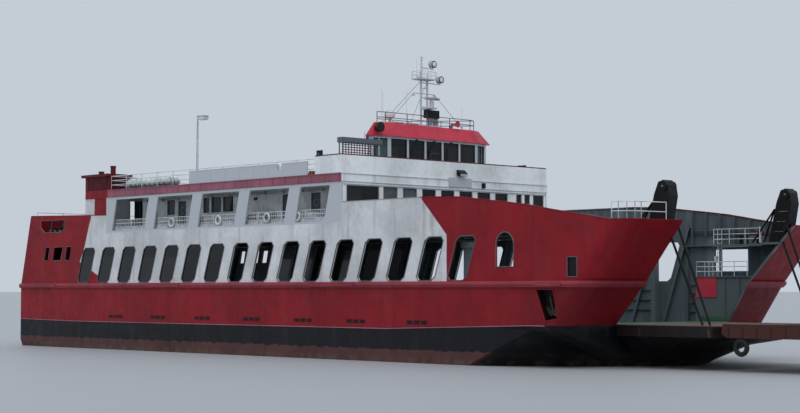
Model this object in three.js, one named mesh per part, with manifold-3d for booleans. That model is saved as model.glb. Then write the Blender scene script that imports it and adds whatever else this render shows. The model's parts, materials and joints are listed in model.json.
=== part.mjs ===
// Passenger and vehicle ferry with a bow ramp, built as a 1:2 scale model.
// Millimetres, +X to the bow, +Y to port, +Z up. Origin amidships, on the centreline, at the waterline.
import * as THREE from 'three';
import { mergeVertices } from 'three/addons/utils/BufferGeometryUtils.js';
import Module from 'manifold-3d';

const wasm = await Module();
wasm.setup();

// Scale and frame. Every length below is in metres of the real ship.
const SCALE = 1 / 2;
const M = 1000 * SCALE;
const FRONT_X = 6.65; // the saloon front stands this far ahead of amidships; stations count from it
const GAP = 0.0006; // 0.3 mm between pieces that meet

// Hull and decks
const HALF = 9.75; // half beam
const STERN = -38.8;
const NOSE = 25.5; // front edge of the car deck, where the ramp is hinged
const NOSE_HALF = 5.42;
const WING_START = 12.4; // the bow wings begin here
const DECK_LOW = 2.05; // car deck amidships
const DECK_HIGH = 2.4; // car deck at the bow
const DECK_RISE = [4, 16]; // stations between which the car deck rises
const PLATE = 0.12; // shell plate with its stiffeners
const DECKING = 0.05;
const STRAKE_Z = 4.75;
const STRAKE_H = 0.36;
const STRAKE_OUT = 0.2;
const SALOON_DECK = 8.7;
const DECK_T = 0.14;
const ROOF_Z = 11.9; // top deck
const FASCIA = 0.58; // depth of the top deck's edge
const BULWARK = 10.0;
const WING_TOP = [[WING_START, 9.67], [15.5, 9.31], [18, 8.85], [20.5, 8.47], [21.8, 8.24], [24, 8.24]];

// Windows of the car deck
const WINDOW = { first: -29.7, pitch: 2.67, count: 16, width: 1.6, low: 4.98, high: 7.6, lean: 0.34, corner: 0.26 };

// Gallery between the leaning pillars
const BAY = { first: -27.1, pitch: 5.33, count: 5, pillar: 1.15, low: 8.84, high: 11.14, lean: 0.25 };
const GALLERY = { aft: -26.7, last: -1.7, wallY: 8.0, aftWall: -24.5 };

// Ramps, rudders, propellers
const RAMP = { length: 7.5, half: 5.3, depth: 0.62, hingeX: 25.85, hingeZ: 2.27, lug: 0.16 };
const FLAP = { length: 2.5, half: 5.6, depth: 0.22, hingeX: -39.0, hingeZ: 2.05, lug: 0.1 };
const ROUND = 16; // sides of a pin or its bore
const SHAFT = { y: 4.2, z: -1.75, fore: -28.5, aft: -35.0, radius: 0.17, pin: 0.09, stub: 0.4 };
const PROP = { radius: 0.75, hub: 0.17, blades: 4 };
const RUDDER = { x: -36.9, top: -0.95, low: -2.45, fore: 0.5, aft: 1.25, thick: 0.22, collar: 0.2, pin: 0.13,
  pinLength: 0.35 };

// Side casings beside the bow's lane: aft end, inner face, plate, top, front edge at deck and top, ledge's end
const CASING = { aft: 14.6, y: 7.7, plate: 0.1, top: 5.3, foreLow: 18.3, foreHigh: 20.3, ledge: 18.6 };
// Openings in the bow wings: arched doorway to starboard, wide opening to port, small window in both
const DOORWAY = { x: [13.5, 14.9], z: [5.75, 7.05], radius: 0.7 };
const WIDE_OPENING = { x: [14.7, 17.3], z: [5.6, 7.05] };

// Anchors, in pockets in the bow wings
const ANCHOR = { x: 17.53, z: 3.5, depth: 0.5, thick: 0.2, lean: 15.7, size: 0.8 };
const POCKET = { face: 0.09, edge: 0.1 }; // its box starts this deep in the plate, with this rim
const POCKET_CORNERS = [[17.3, 2.65], [18.2, 2.8], [17.9, 4.45], [16.6, 4.45]]; // station, height

// Wheelhouse and mast
const HOUSE = { front: -1.5, corner: -2.0, flat: 4.15, half: 5.6, aft: -6.2, aftHalf: 1.75, sill: 13.25,
  head: 14.5, top: 14.65 };
const HOUSE_TURN = Math.atan2(HOUSE.half - HOUSE.aftHalf, HOUSE.corner - HOUSE.aft); // side walls, inward going aft
const VISOR = { low: 14.65, high: 15.6, out: 0.2, inset: 0.35 };
const DOOR = { aft: -5.9, fore: -5.0, low: 11.96, high: 14.1, pinX: -4.93, pinY: 5.66, pin: 0.05, knuckle: 0.12,
  knuckles: [12.3, 13.5] };
const MAST_X = -2.5;
const MAST = { platform: 18.85, top: 20.45, scannerX: -1.75, scannerZ: 17.3 };

// Top deck, its stair and its life-rafts
const ROOF_T = 0.16;
const TOP_DECK = { aft: -29.8, step: -26.5, fore: 0.03, narrow: 7.5, wide: HALF + 0.03 };
const STAIR = { top: -28.75, hatch: -26.9, foot: -25.6, steps: 14, half: 0.5 };
const RAFTS = { first: -24.6, count: 9, pitch: 0.6, radius: 0.27 };

// Bridge wings: height of the bulwark, and the awning's sides
const BRIDGE = { bulwark: 1.15, awning: [[-0.65, -0.15], [-9.55, -6.05], [13.85, 14.2]], post: 0.045 };

const SIDES = { starboard: -1, port: 1 };

const deckAt = (x) => {
  const part = (x - DECK_RISE[0]) / (DECK_RISE[1] - DECK_RISE[0]);
  const rise = THREE.MathUtils.clamp(part, 0, 1) * (DECK_HIGH - DECK_LOW);
  return DECK_LOW + rise + Math.max(0, (-31 - x) / (-31 - STERN)) * 0.1;
};

// Solids

// turns faces outwards where a mirrored surface has turned them in
function outward(geometry) {
  const p = geometry.attributes.position;
  const index = geometry.index;
  const [a, b, c] = [new THREE.Vector3(), new THREE.Vector3(), new THREE.Vector3()];
  let volume = 0;
  for (let i = 0; i < index.count; i += 3) {
    a.fromBufferAttribute(p, index.getX(i));
    b.fromBufferAttribute(p, index.getX(i + 1));
    c.fromBufferAttribute(p, index.getX(i + 2));
    volume += a.dot(b.cross(c));
  }
  if (volume < 0) {
    for (let i = 0; i < index.count; i += 3) {
      const second = index.getX(i + 1);
      index.setX(i + 1, index.getX(i + 2));
      index.setX(i + 2, second);
    }
  }
  return geometry;
}

function fromFaces(points, faces) {
  const geometry = new THREE.BufferGeometry();
  const flat = points.flatMap(([x, y, z]) => [x * M, y * M, z * M]);
  geometry.setAttribute('position', new THREE.Float32BufferAttribute(flat, 3));
  geometry.setIndex(faces.flat());
  return outward(geometry);
}

// closed body through rings that have the same number of corners
function loft(rings) {
  const n = rings[0].length;
  const faces = [];
  for (let r = 0; r + 1 < rings.length; r += 1) {
    for (let i = 0; i < n; i += 1) {
      const [a, b] = [r * n + i, r * n + (i + 1) % n];
      faces.push([a, b, b + n], [a, b + n, a + n]);
    }
  }
  const last = (rings.length - 1) * n;
  for (let i = 1; i + 1 < n; i += 1) {
    faces.push([0, i + 1, i], [last, last + i, last + i + 1]);
  }
  return fromFaces(rings.flat(), faces);
}

// closed body between two grids of points, column by column
function between(outer, inner) {
  const [columns, rows] = [outer.length, outer[0].length];
  const size = columns * rows;
  const faces = [];
  const at = (c, r) => c * rows + r;
  for (let c = 0; c + 1 < columns; c += 1) {
    for (let r = 0; r + 1 < rows; r += 1) {
      const q = [at(c, r), at(c + 1, r), at(c + 1, r + 1), at(c, r + 1)];
      faces.push([q[0], q[1], q[2]], [q[0], q[2], q[3]]);
      const w = q.map((v) => v + size);
      faces.push([w[0], w[2], w[1]], [w[0], w[3], w[2]]);
    }
  }
  const edge = (a, b) => faces.push([a, a + size, b + size], [a, b + size, b]);
  for (let c = 0; c + 1 < columns; c += 1) {
    edge(at(c, 0), at(c + 1, 0));
    edge(at(c + 1, rows - 1), at(c, rows - 1));
  }
  for (let r = 0; r + 1 < rows; r += 1) {
    edge(at(0, r + 1), at(0, r));
    edge(at(columns - 1, r), at(columns - 1, r + 1));
  }
  return fromFaces([...outer.flat(), ...inner.flat()], faces);
}

function prism(points, from, to) {
  const shape = new THREE.Shape(points.map(([u, v]) => new THREE.Vector2(u * M, v * M)));
  const depth = (to - from) * M;
  return new THREE.ExtrudeGeometry(shape, { depth, bevelEnabled: false }).translate(0, 0, from * M);
}

function extruded(points, holes, depth) {
  return joined([prism(points, 0, depth)], holes.map((hole) => prism(hole, -depth, 2 * depth)));
}

// plate in the plane of the ship's side, from y0 over its thickness; points are (x, z)
function sidePlate(points, holes, y0, thickness) {
  const geometry = extruded(points, holes, thickness);
  return geometry.rotateX(Math.PI / 2).translate(0, (y0 + thickness) * M, 0);
}

// level plate from z0 up; points are (x, y)
function levelPlate(points, holes, z0, thickness) {
  return extruded(points, holes, thickness).translate(0, 0, z0 * M);
}

// plate across the ship from x0 forward; points are (y, z)
function crossPlate(points, holes, x0, thickness) {
  const turn = new THREE.Matrix4().makeBasis(
    new THREE.Vector3(0, 1, 0), new THREE.Vector3(0, 0, 1), new THREE.Vector3(1, 0, 0));
  return extruded(points, holes, thickness).applyMatrix4(turn).translate(x0 * M, 0, 0);
}

function block(x, y, z) {
  const size = [x, y, z].map(([a, b]) => Math.abs(b - a) * M);
  const middle = [x, y, z].map(([a, b]) => (a + b) * M / 2);
  return new THREE.BoxGeometry(...size).translate(...middle);
}

// round bar between two points
function bar(from, to, radius, sides = 8, endRadius = radius) {
  const a = new THREE.Vector3(...from).multiplyScalar(M);
  const b = new THREE.Vector3(...to).multiplyScalar(M);
  const geometry = new THREE.CylinderGeometry(endRadius * M, radius * M, a.distanceTo(b), sides);
  const along = b.clone().sub(a).normalize();
  const turn = new THREE.Quaternion().setFromUnitVectors(new THREE.Vector3(0, 1, 0), along);
  return geometry.applyQuaternion(turn).translate(...a.add(b).multiplyScalar(0.5).toArray());
}

// radius of a bore whose flats clear a pin by the gap
function bored(pin) {
  return (pin + GAP) / Math.cos(Math.PI / ROUND);
}

// Joining and cutting

function solid(geometry) {
  const bare = geometry.index ? geometry.toNonIndexed() : geometry.clone();
  bare.deleteAttribute('normal');
  bare.deleteAttribute('uv');
  const merged = mergeVertices(bare, 1e-3);
  return new wasm.Manifold(new wasm.Mesh({
    numProp: 3,
    vertProperties: merged.attributes.position.array,
    triVerts: new Uint32Array(merged.index.array),
  }));
}

function toGeometry(body) {
  const mesh = body.getMesh();
  const geometry = new THREE.BufferGeometry();
  geometry.setAttribute('position', new THREE.BufferAttribute(new Float32Array(mesh.vertProperties), 3));
  geometry.setIndex(new THREE.BufferAttribute(new Uint32Array(mesh.triVerts), 1));
  return geometry;
}

function joined(pieces, cuts = []) {
  let body = solid(pieces[0]);
  for (const piece of pieces.slice(1)) {
    body = body.add(solid(piece));
  }
  for (const cut of cuts) {
    body = body.subtract(solid(cut));
  }
  return toGeometry(body);
}

// The ship, with stations counted from the saloon front

const ship = new THREE.Group();
ship.position.x = FRONT_X * M;

const finishes = {
  hullBlack: { color: 0x191c28, metalness: 0.2, roughness: 0.5 },
  hullRed: { color: 0x722832, metalness: 0.2, roughness: 0.45 },
  white: { color: 0xbcc2cb, metalness: 0.1, roughness: 0.5 },
  deckGreen: { color: 0x2c4a3c, metalness: 0.1, roughness: 0.7 },
  grey: { color: 0x5f696f, metalness: 0.2, roughness: 0.6 },
  visorRed: { color: 0xb93c50, metalness: 0.1, roughness: 0.5 },
  rust: { color: 0x5a3a34, metalness: 0.3, roughness: 0.8 },
  dark: { color: 0x1c1c22, metalness: 0.3, roughness: 0.6 },
  bronze: { color: 0x9a7b45, metalness: 0.9, roughness: 0.35 },
  tyre: { color: 0x101012, metalness: 0.0, roughness: 0.9 },
};
const materials = Object.fromEntries(
  Object.entries(finishes).map(([key, values]) => {
    return [key, new THREE.MeshStandardMaterial({ ...values, flatShading: true })];
  }));

function add(name, geometry, finish, pivot = [0, 0, 0]) {
  const mesh = new THREE.Mesh(geometry, materials[finish]);
  mesh.name = name;
  mesh.position.set(...pivot.map((v) => v * M));
  ship.add(mesh);
}

// Hull: half sections from the deck edge down to the keel
// columns: station, deck half breadth, knuckle half and z, bilge half and z, floor half and z, keel z
const HULL = [
  [STERN, HALF, HALF, 0.5, 9.5, -0.15, 8.6, -0.35, -0.45],
  [-36, HALF, HALF, 0.3, 9.5, -0.45, 8.4, -0.7, -0.8],
  [-31, HALF, HALF, 0.0, 9.6, -0.9, 8.4, -1.45, -1.6],
  [-25, HALF, HALF, -0.9, 9.5, -1.75, 8.4, -2.25, -2.5],
  [-20, HALF, HALF, -1.3, 9.45, -2.0, 8.5, -2.35, -2.6],
  [4, HALF, HALF, -1.3, 9.45, -2.0, 8.5, -2.35, -2.6],
  [7.6, HALF, HALF, -1.2, 9.3, -1.95, 8.0, -2.3, -2.6],
  [11.2, HALF, HALF, 0.0, 8.7, -1.1, 6.6, -2.0, -2.55],
  [13.5, HALF, HALF, 1.05, 8.2, 0.0, 5.0, -1.7, -2.35],
  [16.0, HALF, 9.6, 2.1, 6.3, 0.0, 3.4, -1.3, -1.95],
  [17.5, HALF, 9.6, 2.1, 4.7, 0.2, 2.4, -0.85, -1.4],
  [18.3, 9.57, 9.4, 2.1, 4.0, 0.3, 2.0, -0.62, -1.14],
  [18.6, 9.2, 9.0, 2.08, 3.7, 0.33, 1.8, -0.52, -1.02],
  [18.74, 8.65, 8.5, 2.06, 3.6, 0.34, 1.75, -0.48, -0.98],
  [18.82, NOSE_HALF, 5.3, 1.9, 3.5, 0.35, 1.7, -0.45, -0.95],
  [20.5, NOSE_HALF, 5.35, 1.9, 3.5, 1.0, 1.6, 0.3, 0.0],
  [22.35, NOSE_HALF, 5.38, 1.9, 3.9, 1.5, 1.8, 1.15, 1.07],
  [NOSE, NOSE_HALF, 5.4, 1.9, 5.1, 1.87, 2.6, 1.86, 1.85],
];

function hull() {
  const rings = HULL.map(([x, deck, knuckle, knuckleZ, bilge, bilgeZ, floor, floorZ, keelZ]) => {
    const half = [[deck, deckAt(x)], [knuckle, knuckleZ], [bilge, bilgeZ], [floor, floorZ]];
    const starboard = half.map(([y, z]) => [x, -y, z]);
    const port = half.map(([y, z]) => [x, y, z]).reverse();
    return [...starboard, [x, 0, keelZ], ...port];
  });
  const pieces = [loft(rings), block([-24, 6], [-0.15, 0.15], [-2.85, -2.3])];
  const bores = [];
  for (const side of Object.values(SIDES)) {
    const y = side * SHAFT.y;
    pieces.push(bar([SHAFT.fore, y, SHAFT.z], [SHAFT.aft, y, SHAFT.z], SHAFT.radius));
    pieces.push(block([-34.7, -34.3], [y - 0.06, y + 0.06], [SHAFT.z, -0.5]));
    pieces.push(bar([RUDDER.x, y, -0.3], [RUDDER.x, y, RUDDER.top], 0.25, ROUND));
    const shaft = [[SHAFT.aft - 0.1, y, SHAFT.z], [SHAFT.aft + SHAFT.stub, y, SHAFT.z]];
    const trunk = [[RUDDER.x, y, RUDDER.top - 0.1], [RUDDER.x, y, RUDDER.top + RUDDER.pinLength]];
    bores.push(bar(...shaft, bored(SHAFT.pin), ROUND), bar(...trunk, bored(RUDDER.pin), ROUND));
  }
  return joined(pieces, bores);
}

// Car deck plating, laid on the hull between the shell plates
function carDeck() {
  const half = HALF - PLATE - GAP;
  // columns: station, half breadth
  const outline = [[STERN + PLATE + GAP, half], [-31, half], [DECK_RISE[0], half], [DECK_RISE[1], half],
    [17.4, half], [17.9, 9.5], [18.3, 9.25], [18.48, 8.9], [18.52, 5.3], [18.9, 5.2], [NOSE - PLATE, 5.2]];
  return loft(outline.map(([x, y]) => {
    const z = deckAt(x) + GAP;
    return [[x, -y, z], [x, y, z], [x, y, z + DECKING], [x, -y, z + DECKING]];
  }));
}

// station of the raked stern at a level
const STERN_TOP = { x: -37.4, z: 10.25 };
const sternAt = (z) => STERN + (STERN_TOP.x - STERN) * Math.max(0, z - STRAKE_Z) / (STERN_TOP.z - STRAKE_Z);

// Side shell below the saloon deck, with the leaning windows cut
// Outline with each corner cut off at a distance along both of its edges
function cornered(corners, cut) {
  const toward = ([x, z], [farX, farZ]) => {
    const run = Math.hypot(farX - x, farZ - z);
    return [x + (farX - x) * cut / run, z + (farZ - z) * cut / run];
  };
  const count = corners.length;
  return corners.flatMap((corner, i) => [toward(corner, corners[(i + count - 1) % count]),
    toward(corner, corners[(i + 1) % count])]);
}

function sideShell(side) {
  const base = [STERN, -31, DECK_RISE[0], WING_START - GAP].map((x) => [x, deckAt(x) + GAP]);
  const top = [[WING_START - GAP, WING_TOP[0][1]], [10.5, 9.9], [8, BULWARK], [GAP, BULWARK], [GAP, SALOON_DECK],
    [GALLERY.aft, SALOON_DECK], [GALLERY.aft, BULWARK], [STERN_TOP.x, STERN_TOP.z], [STERN, STRAKE_Z]];
  const shift = (WINDOW.high - WINDOW.low) * WINDOW.lean;
  const holes = [];
  for (let i = 0; i < WINDOW.count; i += 1) {
    const x = WINDOW.first + i * WINDOW.pitch - shift;
    holes.push(cornered([[x, WINDOW.low], [x + WINDOW.width, WINDOW.low],
      [x + WINDOW.width + shift, WINDOW.high], [x + shift, WINDOW.high]], WINDOW.corner));
  }
  for (const [from, to] of [[-35.4, -34.8], [-34.2, -32.9], [-32.4, -31.7]]) {
    holes.push([[from, 6.7], [to, 6.7], [to + 0.25, 7.75], [from + 0.25, 7.75]]);
  }
  holes.push([[-35.4, 8.9], [-32.9, 8.9], [-32.4, 9.3], [-32.4, 9.85], [-35.9, 9.85], [-35.9, 9.3]]);
  const y0 = side < 0 ? -HALF : HALF - PLATE;
  return sidePlate([...base, ...top], holes, y0, PLATE);
}

// Gallery side: header, sill and leaning pillars over the side shell
function gallerySide(side) {
  const [low, high] = [SALOON_DECK + GAP, ROOF_Z - FASCIA];
  const holes = [];
  for (let i = 0; i < BAY.count; i += 1) {
    const from = BAY.first + i * BAY.pitch + BAY.pillar;
    const to = i + 1 < BAY.count ? BAY.first + (i + 1) * BAY.pitch : GALLERY.last;
    const shift = (BAY.high - BAY.low) * BAY.lean;
    holes.push([[from, BAY.low], [to, BAY.low], [to + shift, BAY.high], [from + shift, BAY.high]]);
  }
  const outline = [[GALLERY.aft + GAP, low], [0, low], [0, high], [GALLERY.aft + GAP, high]];
  const y0 = side < 0 ? -HALF : HALF - PLATE;
  return sidePlate(outline, holes, y0, PLATE);
}

// Bow wing surface, round at the shoulder: where the outside of the plate is at a level, from the wing's
// start (0) to its front edge (1)
// columns: z, station of the shoulder's corner, shoulder radius, end station, end distance in from the side
const WING_LEVELS = [
  [DECK_HIGH, 18.7, 1.0, 18.8, 4.33],
  [STRAKE_Z, 20.4, 1.2, 20.55, 4.74],
  [8.05, 23.1, 1.2, 23.5, 4.31],
];
const WING_COLUMNS = 16;
const SHOULDER = [5 / WING_COLUMNS, 12 / WING_COLUMNS]; // parts of the outline where it begins and ends
const WING_FOOT = 0.0085; // clears the kink where the car deck stops rising

function stepped(table, x) {
  const next = Math.max(1, table.findIndex(([at]) => at >= x));
  const [[x0, z0], [x1, z1]] = [table[next - 1], table[next]];
  return z0 + (z1 - z0) * (x - x0) / (x1 - x0);
}

function wingPoint(u, z, side, out = 0) {
  const upper = z > STRAKE_Z;
  const [low, high] = upper ? [WING_LEVELS[1], WING_LEVELS[2]] : [WING_LEVELS[0], WING_LEVELS[1]];
  const mix = Math.max(0, (z - low[0]) / (high[0] - low[0]));
  const place = ([, corner, radius, end, inward], part) => {
    if (part <= SHOULDER[0]) {
      return [WING_START + (corner - radius - WING_START) * part / SHOULDER[0], HALF];
    }
    if (part <= SHOULDER[1]) {
      const turn = (Math.PI / 2) * (part - SHOULDER[0]) / (SHOULDER[1] - SHOULDER[0]);
      return [corner - radius * (1 - Math.sin(turn)), HALF - radius * (1 - Math.cos(turn))];
    }
    const along = (part - SHOULDER[1]) / (1 - SHOULDER[1]);
    return [corner + (end - corner) * along, HALF - radius - (inward - radius) * along];
  };
  const point = (part) => {
    const [a, b] = [place(low, part), place(high, part)];
    return [a[0] + (b[0] - a[0]) * mix, a[1] + (b[1] - a[1]) * mix];
  };
  const here = point(u);
  const [before, after] = [point(Math.max(0, u - 0.02)), point(Math.min(1, u + 0.02))];
  const run = Math.hypot(after[0] - before[0], after[1] - before[1]);
  const normal = u > 0 ? [(before[1] - after[1]) / run, (after[0] - before[0]) / run] : [0, 1];
  return [here[0] + normal[0] * out, side * (here[1] + normal[1] * out), z];
}

function wingTopZ(u) {
  return stepped(WING_TOP, wingPoint(u, WING_LEVELS[2][0], 1)[0]);
}

// block of the anchor pocket's outline, grown by an edge, from one depth to another behind the plate
function anchorPocket(side, edge, from, to) {
  const outline = POCKET_CORNERS.map(([x, z]) => [x + Math.sign(x - ANCHOR.x) * edge,
    z + Math.sign(z - ANCHOR.z) * edge]);
  const low = Math.min(side * (HALF - from), side * (HALF - to));
  return sidePlate(outline, [], low, to - from);
}

function bowWing(side) {
  const grid = (out) => {
    const columns = [];
    for (let c = 0; c <= WING_COLUMNS; c += 1) {
      const u = c / WING_COLUMNS;
      const top = wingTopZ(u);
      const foot = deckAt(wingPoint(u, DECK_HIGH, 1)[0]) + WING_FOOT;
      const levels = [foot, STRAKE_Z - STRAKE_H / 2, STRAKE_Z, STRAKE_Z + STRAKE_H / 2, 6.6, top];
      columns.push(levels.map((z) => wingPoint(u, z, side, out)));
    }
    return columns;
  };
  const through = [side * HALF - 1, side * HALF + 1];
  const cuts = [block([18.93, 19.65], through, [5.15, 6.25]), anchorPocket(side, 0, -0.5, ANCHOR.depth)];
  if (side < 0) {
    const [middle, spring] = [(DOORWAY.x[0] + DOORWAY.x[1]) / 2, DOORWAY.z[1]];
    cuts.push(block(DOORWAY.x, through, DOORWAY.z));
    cuts.push(bar([middle, through[0], spring], [middle, through[1], spring], DOORWAY.radius, 16));
  } else {
    cuts.push(block(WIDE_OPENING.x, through, WIDE_OPENING.z));
  }
  const box = anchorPocket(side, POCKET.edge, POCKET.face, ANCHOR.depth + POCKET.edge);
  return joined([between(grid(0), grid(-PLATE)), box], cuts);
}

// Rubbing strake along the side and round the bow wing
function strake(side) {
  const levels = [STRAKE_Z - STRAKE_H / 2, STRAKE_Z, STRAKE_Z + STRAKE_H / 2];
  const outs = [STRAKE_OUT * 0.6, STRAKE_OUT, STRAKE_OUT * 0.6];
  const ring = (place) => {
    const inner = levels.map((z) => place(z, GAP));
    const outer = levels.map((z, i) => place(z, outs[i])).reverse();
    return [...inner, ...outer];
  };
  const rings = [ring((z, out) => [STERN, side * (HALF + out), z])];
  for (let c = 0; c <= WING_COLUMNS; c += 1) {
    rings.push(ring((z, out) => wingPoint(c / WING_COLUMNS, z, side, out)));
  }
  return loft(rings);
}

// Stern plating round the stern opening
function sternFrame() {
  const half = HALF - PLATE - GAP;
  const foot = deckAt(STERN) + GAP;
  const profile = [[STERN, foot], [STERN + PLATE, foot], [STERN + PLATE, STRAKE_Z],
    [STERN_TOP.x + PLATE, STERN_TOP.z], [STERN_TOP.x, STERN_TOP.z], [STERN, STRAKE_Z]];
  const plate = sidePlate(profile, [], -half, 2 * half);
  const doorway = block([STERN - 1, STERN + 3], [-FLAP.half - 0.05, FLAP.half + 0.05], [foot - 1, 7.2]);
  return joined([plate], [doorway]);
}

function rectangle([from, to, low, high]) {
  return [[from, low], [to, low], [to, high], [from, high]];
}

function saloonDeck() {
  const half = HALF - PLATE - GAP;
  const aft = sternAt(SALOON_DECK) + PLATE + 0.01;
  return levelPlate(rectangle([aft, -PLATE - GAP, -half, half]), [], SALOON_DECK - DECK_T, DECK_T);
}

// Windows of the saloon front
// columns: from y, to y, low z, high z
const FRONT_WINDOWS = [
  [-9.3, -6.55, 10.02, 11.1], [6.6, 7.1, 10.25, 11.1], [7.45, 7.95, 10.25, 11.1], [8.35, 9.4, 10.25, 11.1],
  ...Array.from({ length: 7 }, (_, i) => [-6.1 + i * 1.76, -4.9 + i * 1.76, 10.25, 11.1]),
];

function saloonFront() {
  const half = HALF - PLATE - GAP;
  const outline = rectangle([-half, half, SALOON_DECK - DECK_T, ROOF_Z - FASCIA]);
  return crossPlate(outline, FRONT_WINDOWS.map(rectangle), -PLATE, PLATE);
}

// Doors and windows of the saloon's side walls
// columns: from x, to x, low z, high z
const GALLERY_HOLES = [
  [-23.5, -22.6, 8.8, 10.85], [-21.3, -20.45, 9.95, 10.95], [-19.95, -19.05, 8.8, 10.85],
  [-16.9, -16.3, 9.95, 10.95], [-15.95, -14.9, 9.95, 10.95], [-14.6, -13.5, 9.95, 10.95],
  [-8.0, -7.2, 8.8, 10.85], [-5.0, -4.1, 8.8, 10.85],
];
const WALL_TOP = ROOF_Z - ROOF_T - GAP;

function saloonSide(side) {
  const outline = rectangle([GALLERY.aftWall, -PLATE - GAP, SALOON_DECK + GAP, WALL_TOP]);
  const y0 = side < 0 ? -GALLERY.wallY : GALLERY.wallY - PLATE;
  return sidePlate(outline, GALLERY_HOLES.map(rectangle), y0, PLATE);
}

function saloonAft() {
  const half = GALLERY.wallY - PLATE - GAP;
  const outline = rectangle([-half, half, SALOON_DECK + GAP, WALL_TOP]);
  const doors = [[-5.0, -4.0, 8.8, 10.8], [4.0, 5.0, 8.8, 10.8]];
  const windows = [[-2.4, -0.8, 9.75, 10.75], [0.8, 2.4, 9.75, 10.75]];
  return crossPlate(outline, [...doors, ...windows].map(rectangle), GALLERY.aftWall, PLATE);
}

// Top deck with its deep edge, narrow between the funnels, and the hatch of the stair
function topDeck() {
  const plan = (inset) => {
    const [aft, step, fore] = [TOP_DECK.aft + inset, TOP_DECK.step + inset, TOP_DECK.fore - inset];
    const [narrow, wide] = [TOP_DECK.narrow - inset, TOP_DECK.wide - inset];
    return [[aft, -narrow], [step, -narrow], [step, -wide], [fore, -wide],
      [fore, wide], [step, wide], [step, narrow], [aft, narrow]];
  };
  const hatch = rectangle([STAIR.top, STAIR.hatch, -STAIR.half - 0.02, STAIR.half + 0.02]);
  const foot = ROOF_Z - FASCIA + GAP;
  const deck = levelPlate(plan(0), [hatch], foot, ROOF_Z - foot);
  const under = levelPlate(plan(PLATE), [], foot - 0.1, ROOF_Z - ROOF_T - foot + 0.1);
  return joined([deck], [under]);
}

// Stair from the saloon deck to the top deck
function stair() {
  const { top, foot, steps, half } = STAIR;
  const [run, rise] = [(foot - top) / steps, (ROOF_Z - SALOON_DECK - GAP) / steps];
  const outline = [];
  for (let i = 0; i < steps; i += 1) {
    const z = SALOON_DECK + GAP + i * rise;
    outline.push([foot - i * run, z], [foot - i * run, z + rise]);
  }
  outline.push([top + GAP, ROOF_Z], [top + GAP, ROOF_Z - 0.3], [foot - 0.35, SALOON_DECK + GAP]);
  return sidePlate(outline, [], -half, 2 * half);
}

// White screens along the edge of the top deck, with a notch
function screen(side) {
  const y0 = side < 0 ? -HALF : HALF - 0.08;
  const outline = [[-16.2, 0], [-3.4, 0], [-3.4, 0.85], [-6.0, 0.85], [-6.15, 0.45], [-6.5, 0.45], [-6.65, 0.85],
    [-16.2, 0.85]].map(([x, z]) => [x, z + ROOF_Z + GAP]);
  return sidePlate(outline, [], y0, 0.08);
}

function bridgeBulwark() {
  const [half, aft, thick] = [HALF, -2.6, 0.1];
  const outer = [[aft, -half], [0, -half], [0, half], [aft, half]];
  const inner = [[aft, half - thick], [-thick, half - thick], [-thick, thick - half], [aft, thick - half]];
  return levelPlate([...outer, ...inner], [], ROOF_Z + GAP, BRIDGE.bulwark);
}

// Wheelhouse plan, moved out or in, from the aft starboard corner round the front
function housePlan(out) {
  const { front, corner, flat, half, aft, aftHalf } = HOUSE;
  const starboard = [[aft - out, -aftHalf - out * 0.44], [corner + out * 0.45, -half - out * 1.77],
    [front + out, -flat - out * 0.17]];
  return [...starboard, ...starboard.map(([x, y]) => [x, -y]).reverse()];
}

// Turns a piece, drawn on a wall straight aft of the house's front corner, onto the slanting side wall
function ontoSideWall(piece, side) {
  const [x, y] = [HOUSE.corner * M, side * HOUSE.half * M];
  return piece.translate(-x, -y, 0).rotateZ(side * HOUSE_TURN).translate(x, y, 0);
}

function wheelhouseWalls() {
  const foot = ROOF_Z + GAP;
  const wall = levelPlate(housePlan(0), [housePlan(-PLATE).reverse()], foot, HOUSE.top - GAP - foot);
  const z = [HOUSE.sill, HOUSE.head];
  const through = (at) => [at - 0.4, at + 0.4];
  const cuts = [-4.0, -2.36, -0.72, 0.92, 2.56].map((y) => block(through(HOUSE.front), [y, y + 1.4], z));
  cuts.push(block(through(HOUSE.aft), [-1.1, 1.1], z));
  const knuckles = [];
  for (const side of Object.values(SIDES)) {
    const wallY = side * HOUSE.half;
    cuts.push(...[[4.33, 4.84], [4.96, 5.25]].map(([a, b]) => block([-2.12, -1.2], [side * a, side * b], z)));
    const openings = [[-3.6, -2.4], [-4.65, -3.8]].map((x) => block(x, through(wallY), z));
    openings.push(block([DOOR.aft, DOOR.fore], through(wallY), [DOOR.low, DOOR.high]));
    cuts.push(...openings.map((piece) => ontoSideWall(piece, side)));
    for (const low of DOOR.knuckles) {
      const pin = [DOOR.pinX, side * DOOR.pinY];
      const leaf = [[DOOR.pinX, DOOR.pinX + 0.1], [wallY - side * 0.02, pin[1]]];
      const pair = [bar([...pin, low], [...pin, low + DOOR.knuckle], DOOR.pin)];
      pair.push(block(...leaf, [low, low + DOOR.knuckle]));
      knuckles.push(...pair.map((piece) => ontoSideWall(piece, side)));
    }
  }
  return joined([joined([wall], cuts), ...knuckles]);
}

// Wheelhouse door, hinged outside at its forward edge; its own frame stands on the hinge line
function wheelhouseDoor(side) {
  const [low, high] = [DOOR.low + 0.03, DOOR.high - 0.03];
  const outer = side * (HOUSE.half + 0.01 - DOOR.pinY);
  const width = [DOOR.aft + 0.02 - DOOR.pinX, DOOR.fore - 0.02 - DOOR.pinX];
  const leaf = block(width, [outer - side * 0.1, outer], [low, high]);
  const pieces = [leaf];
  for (const at of DOOR.knuckles) {
    const z = [at + DOOR.knuckle + GAP, at + 2 * DOOR.knuckle];
    pieces.push(bar([0, 0, z[0]], [0, 0, z[1]], DOOR.pin));
    pieces.push(block([DOOR.fore - 0.1 - DOOR.pinX, 0], [outer - side * (0.01 - GAP), 0], z));
  }
  return joined(pieces).rotateZ(side * HOUSE_TURN);
}

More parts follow.
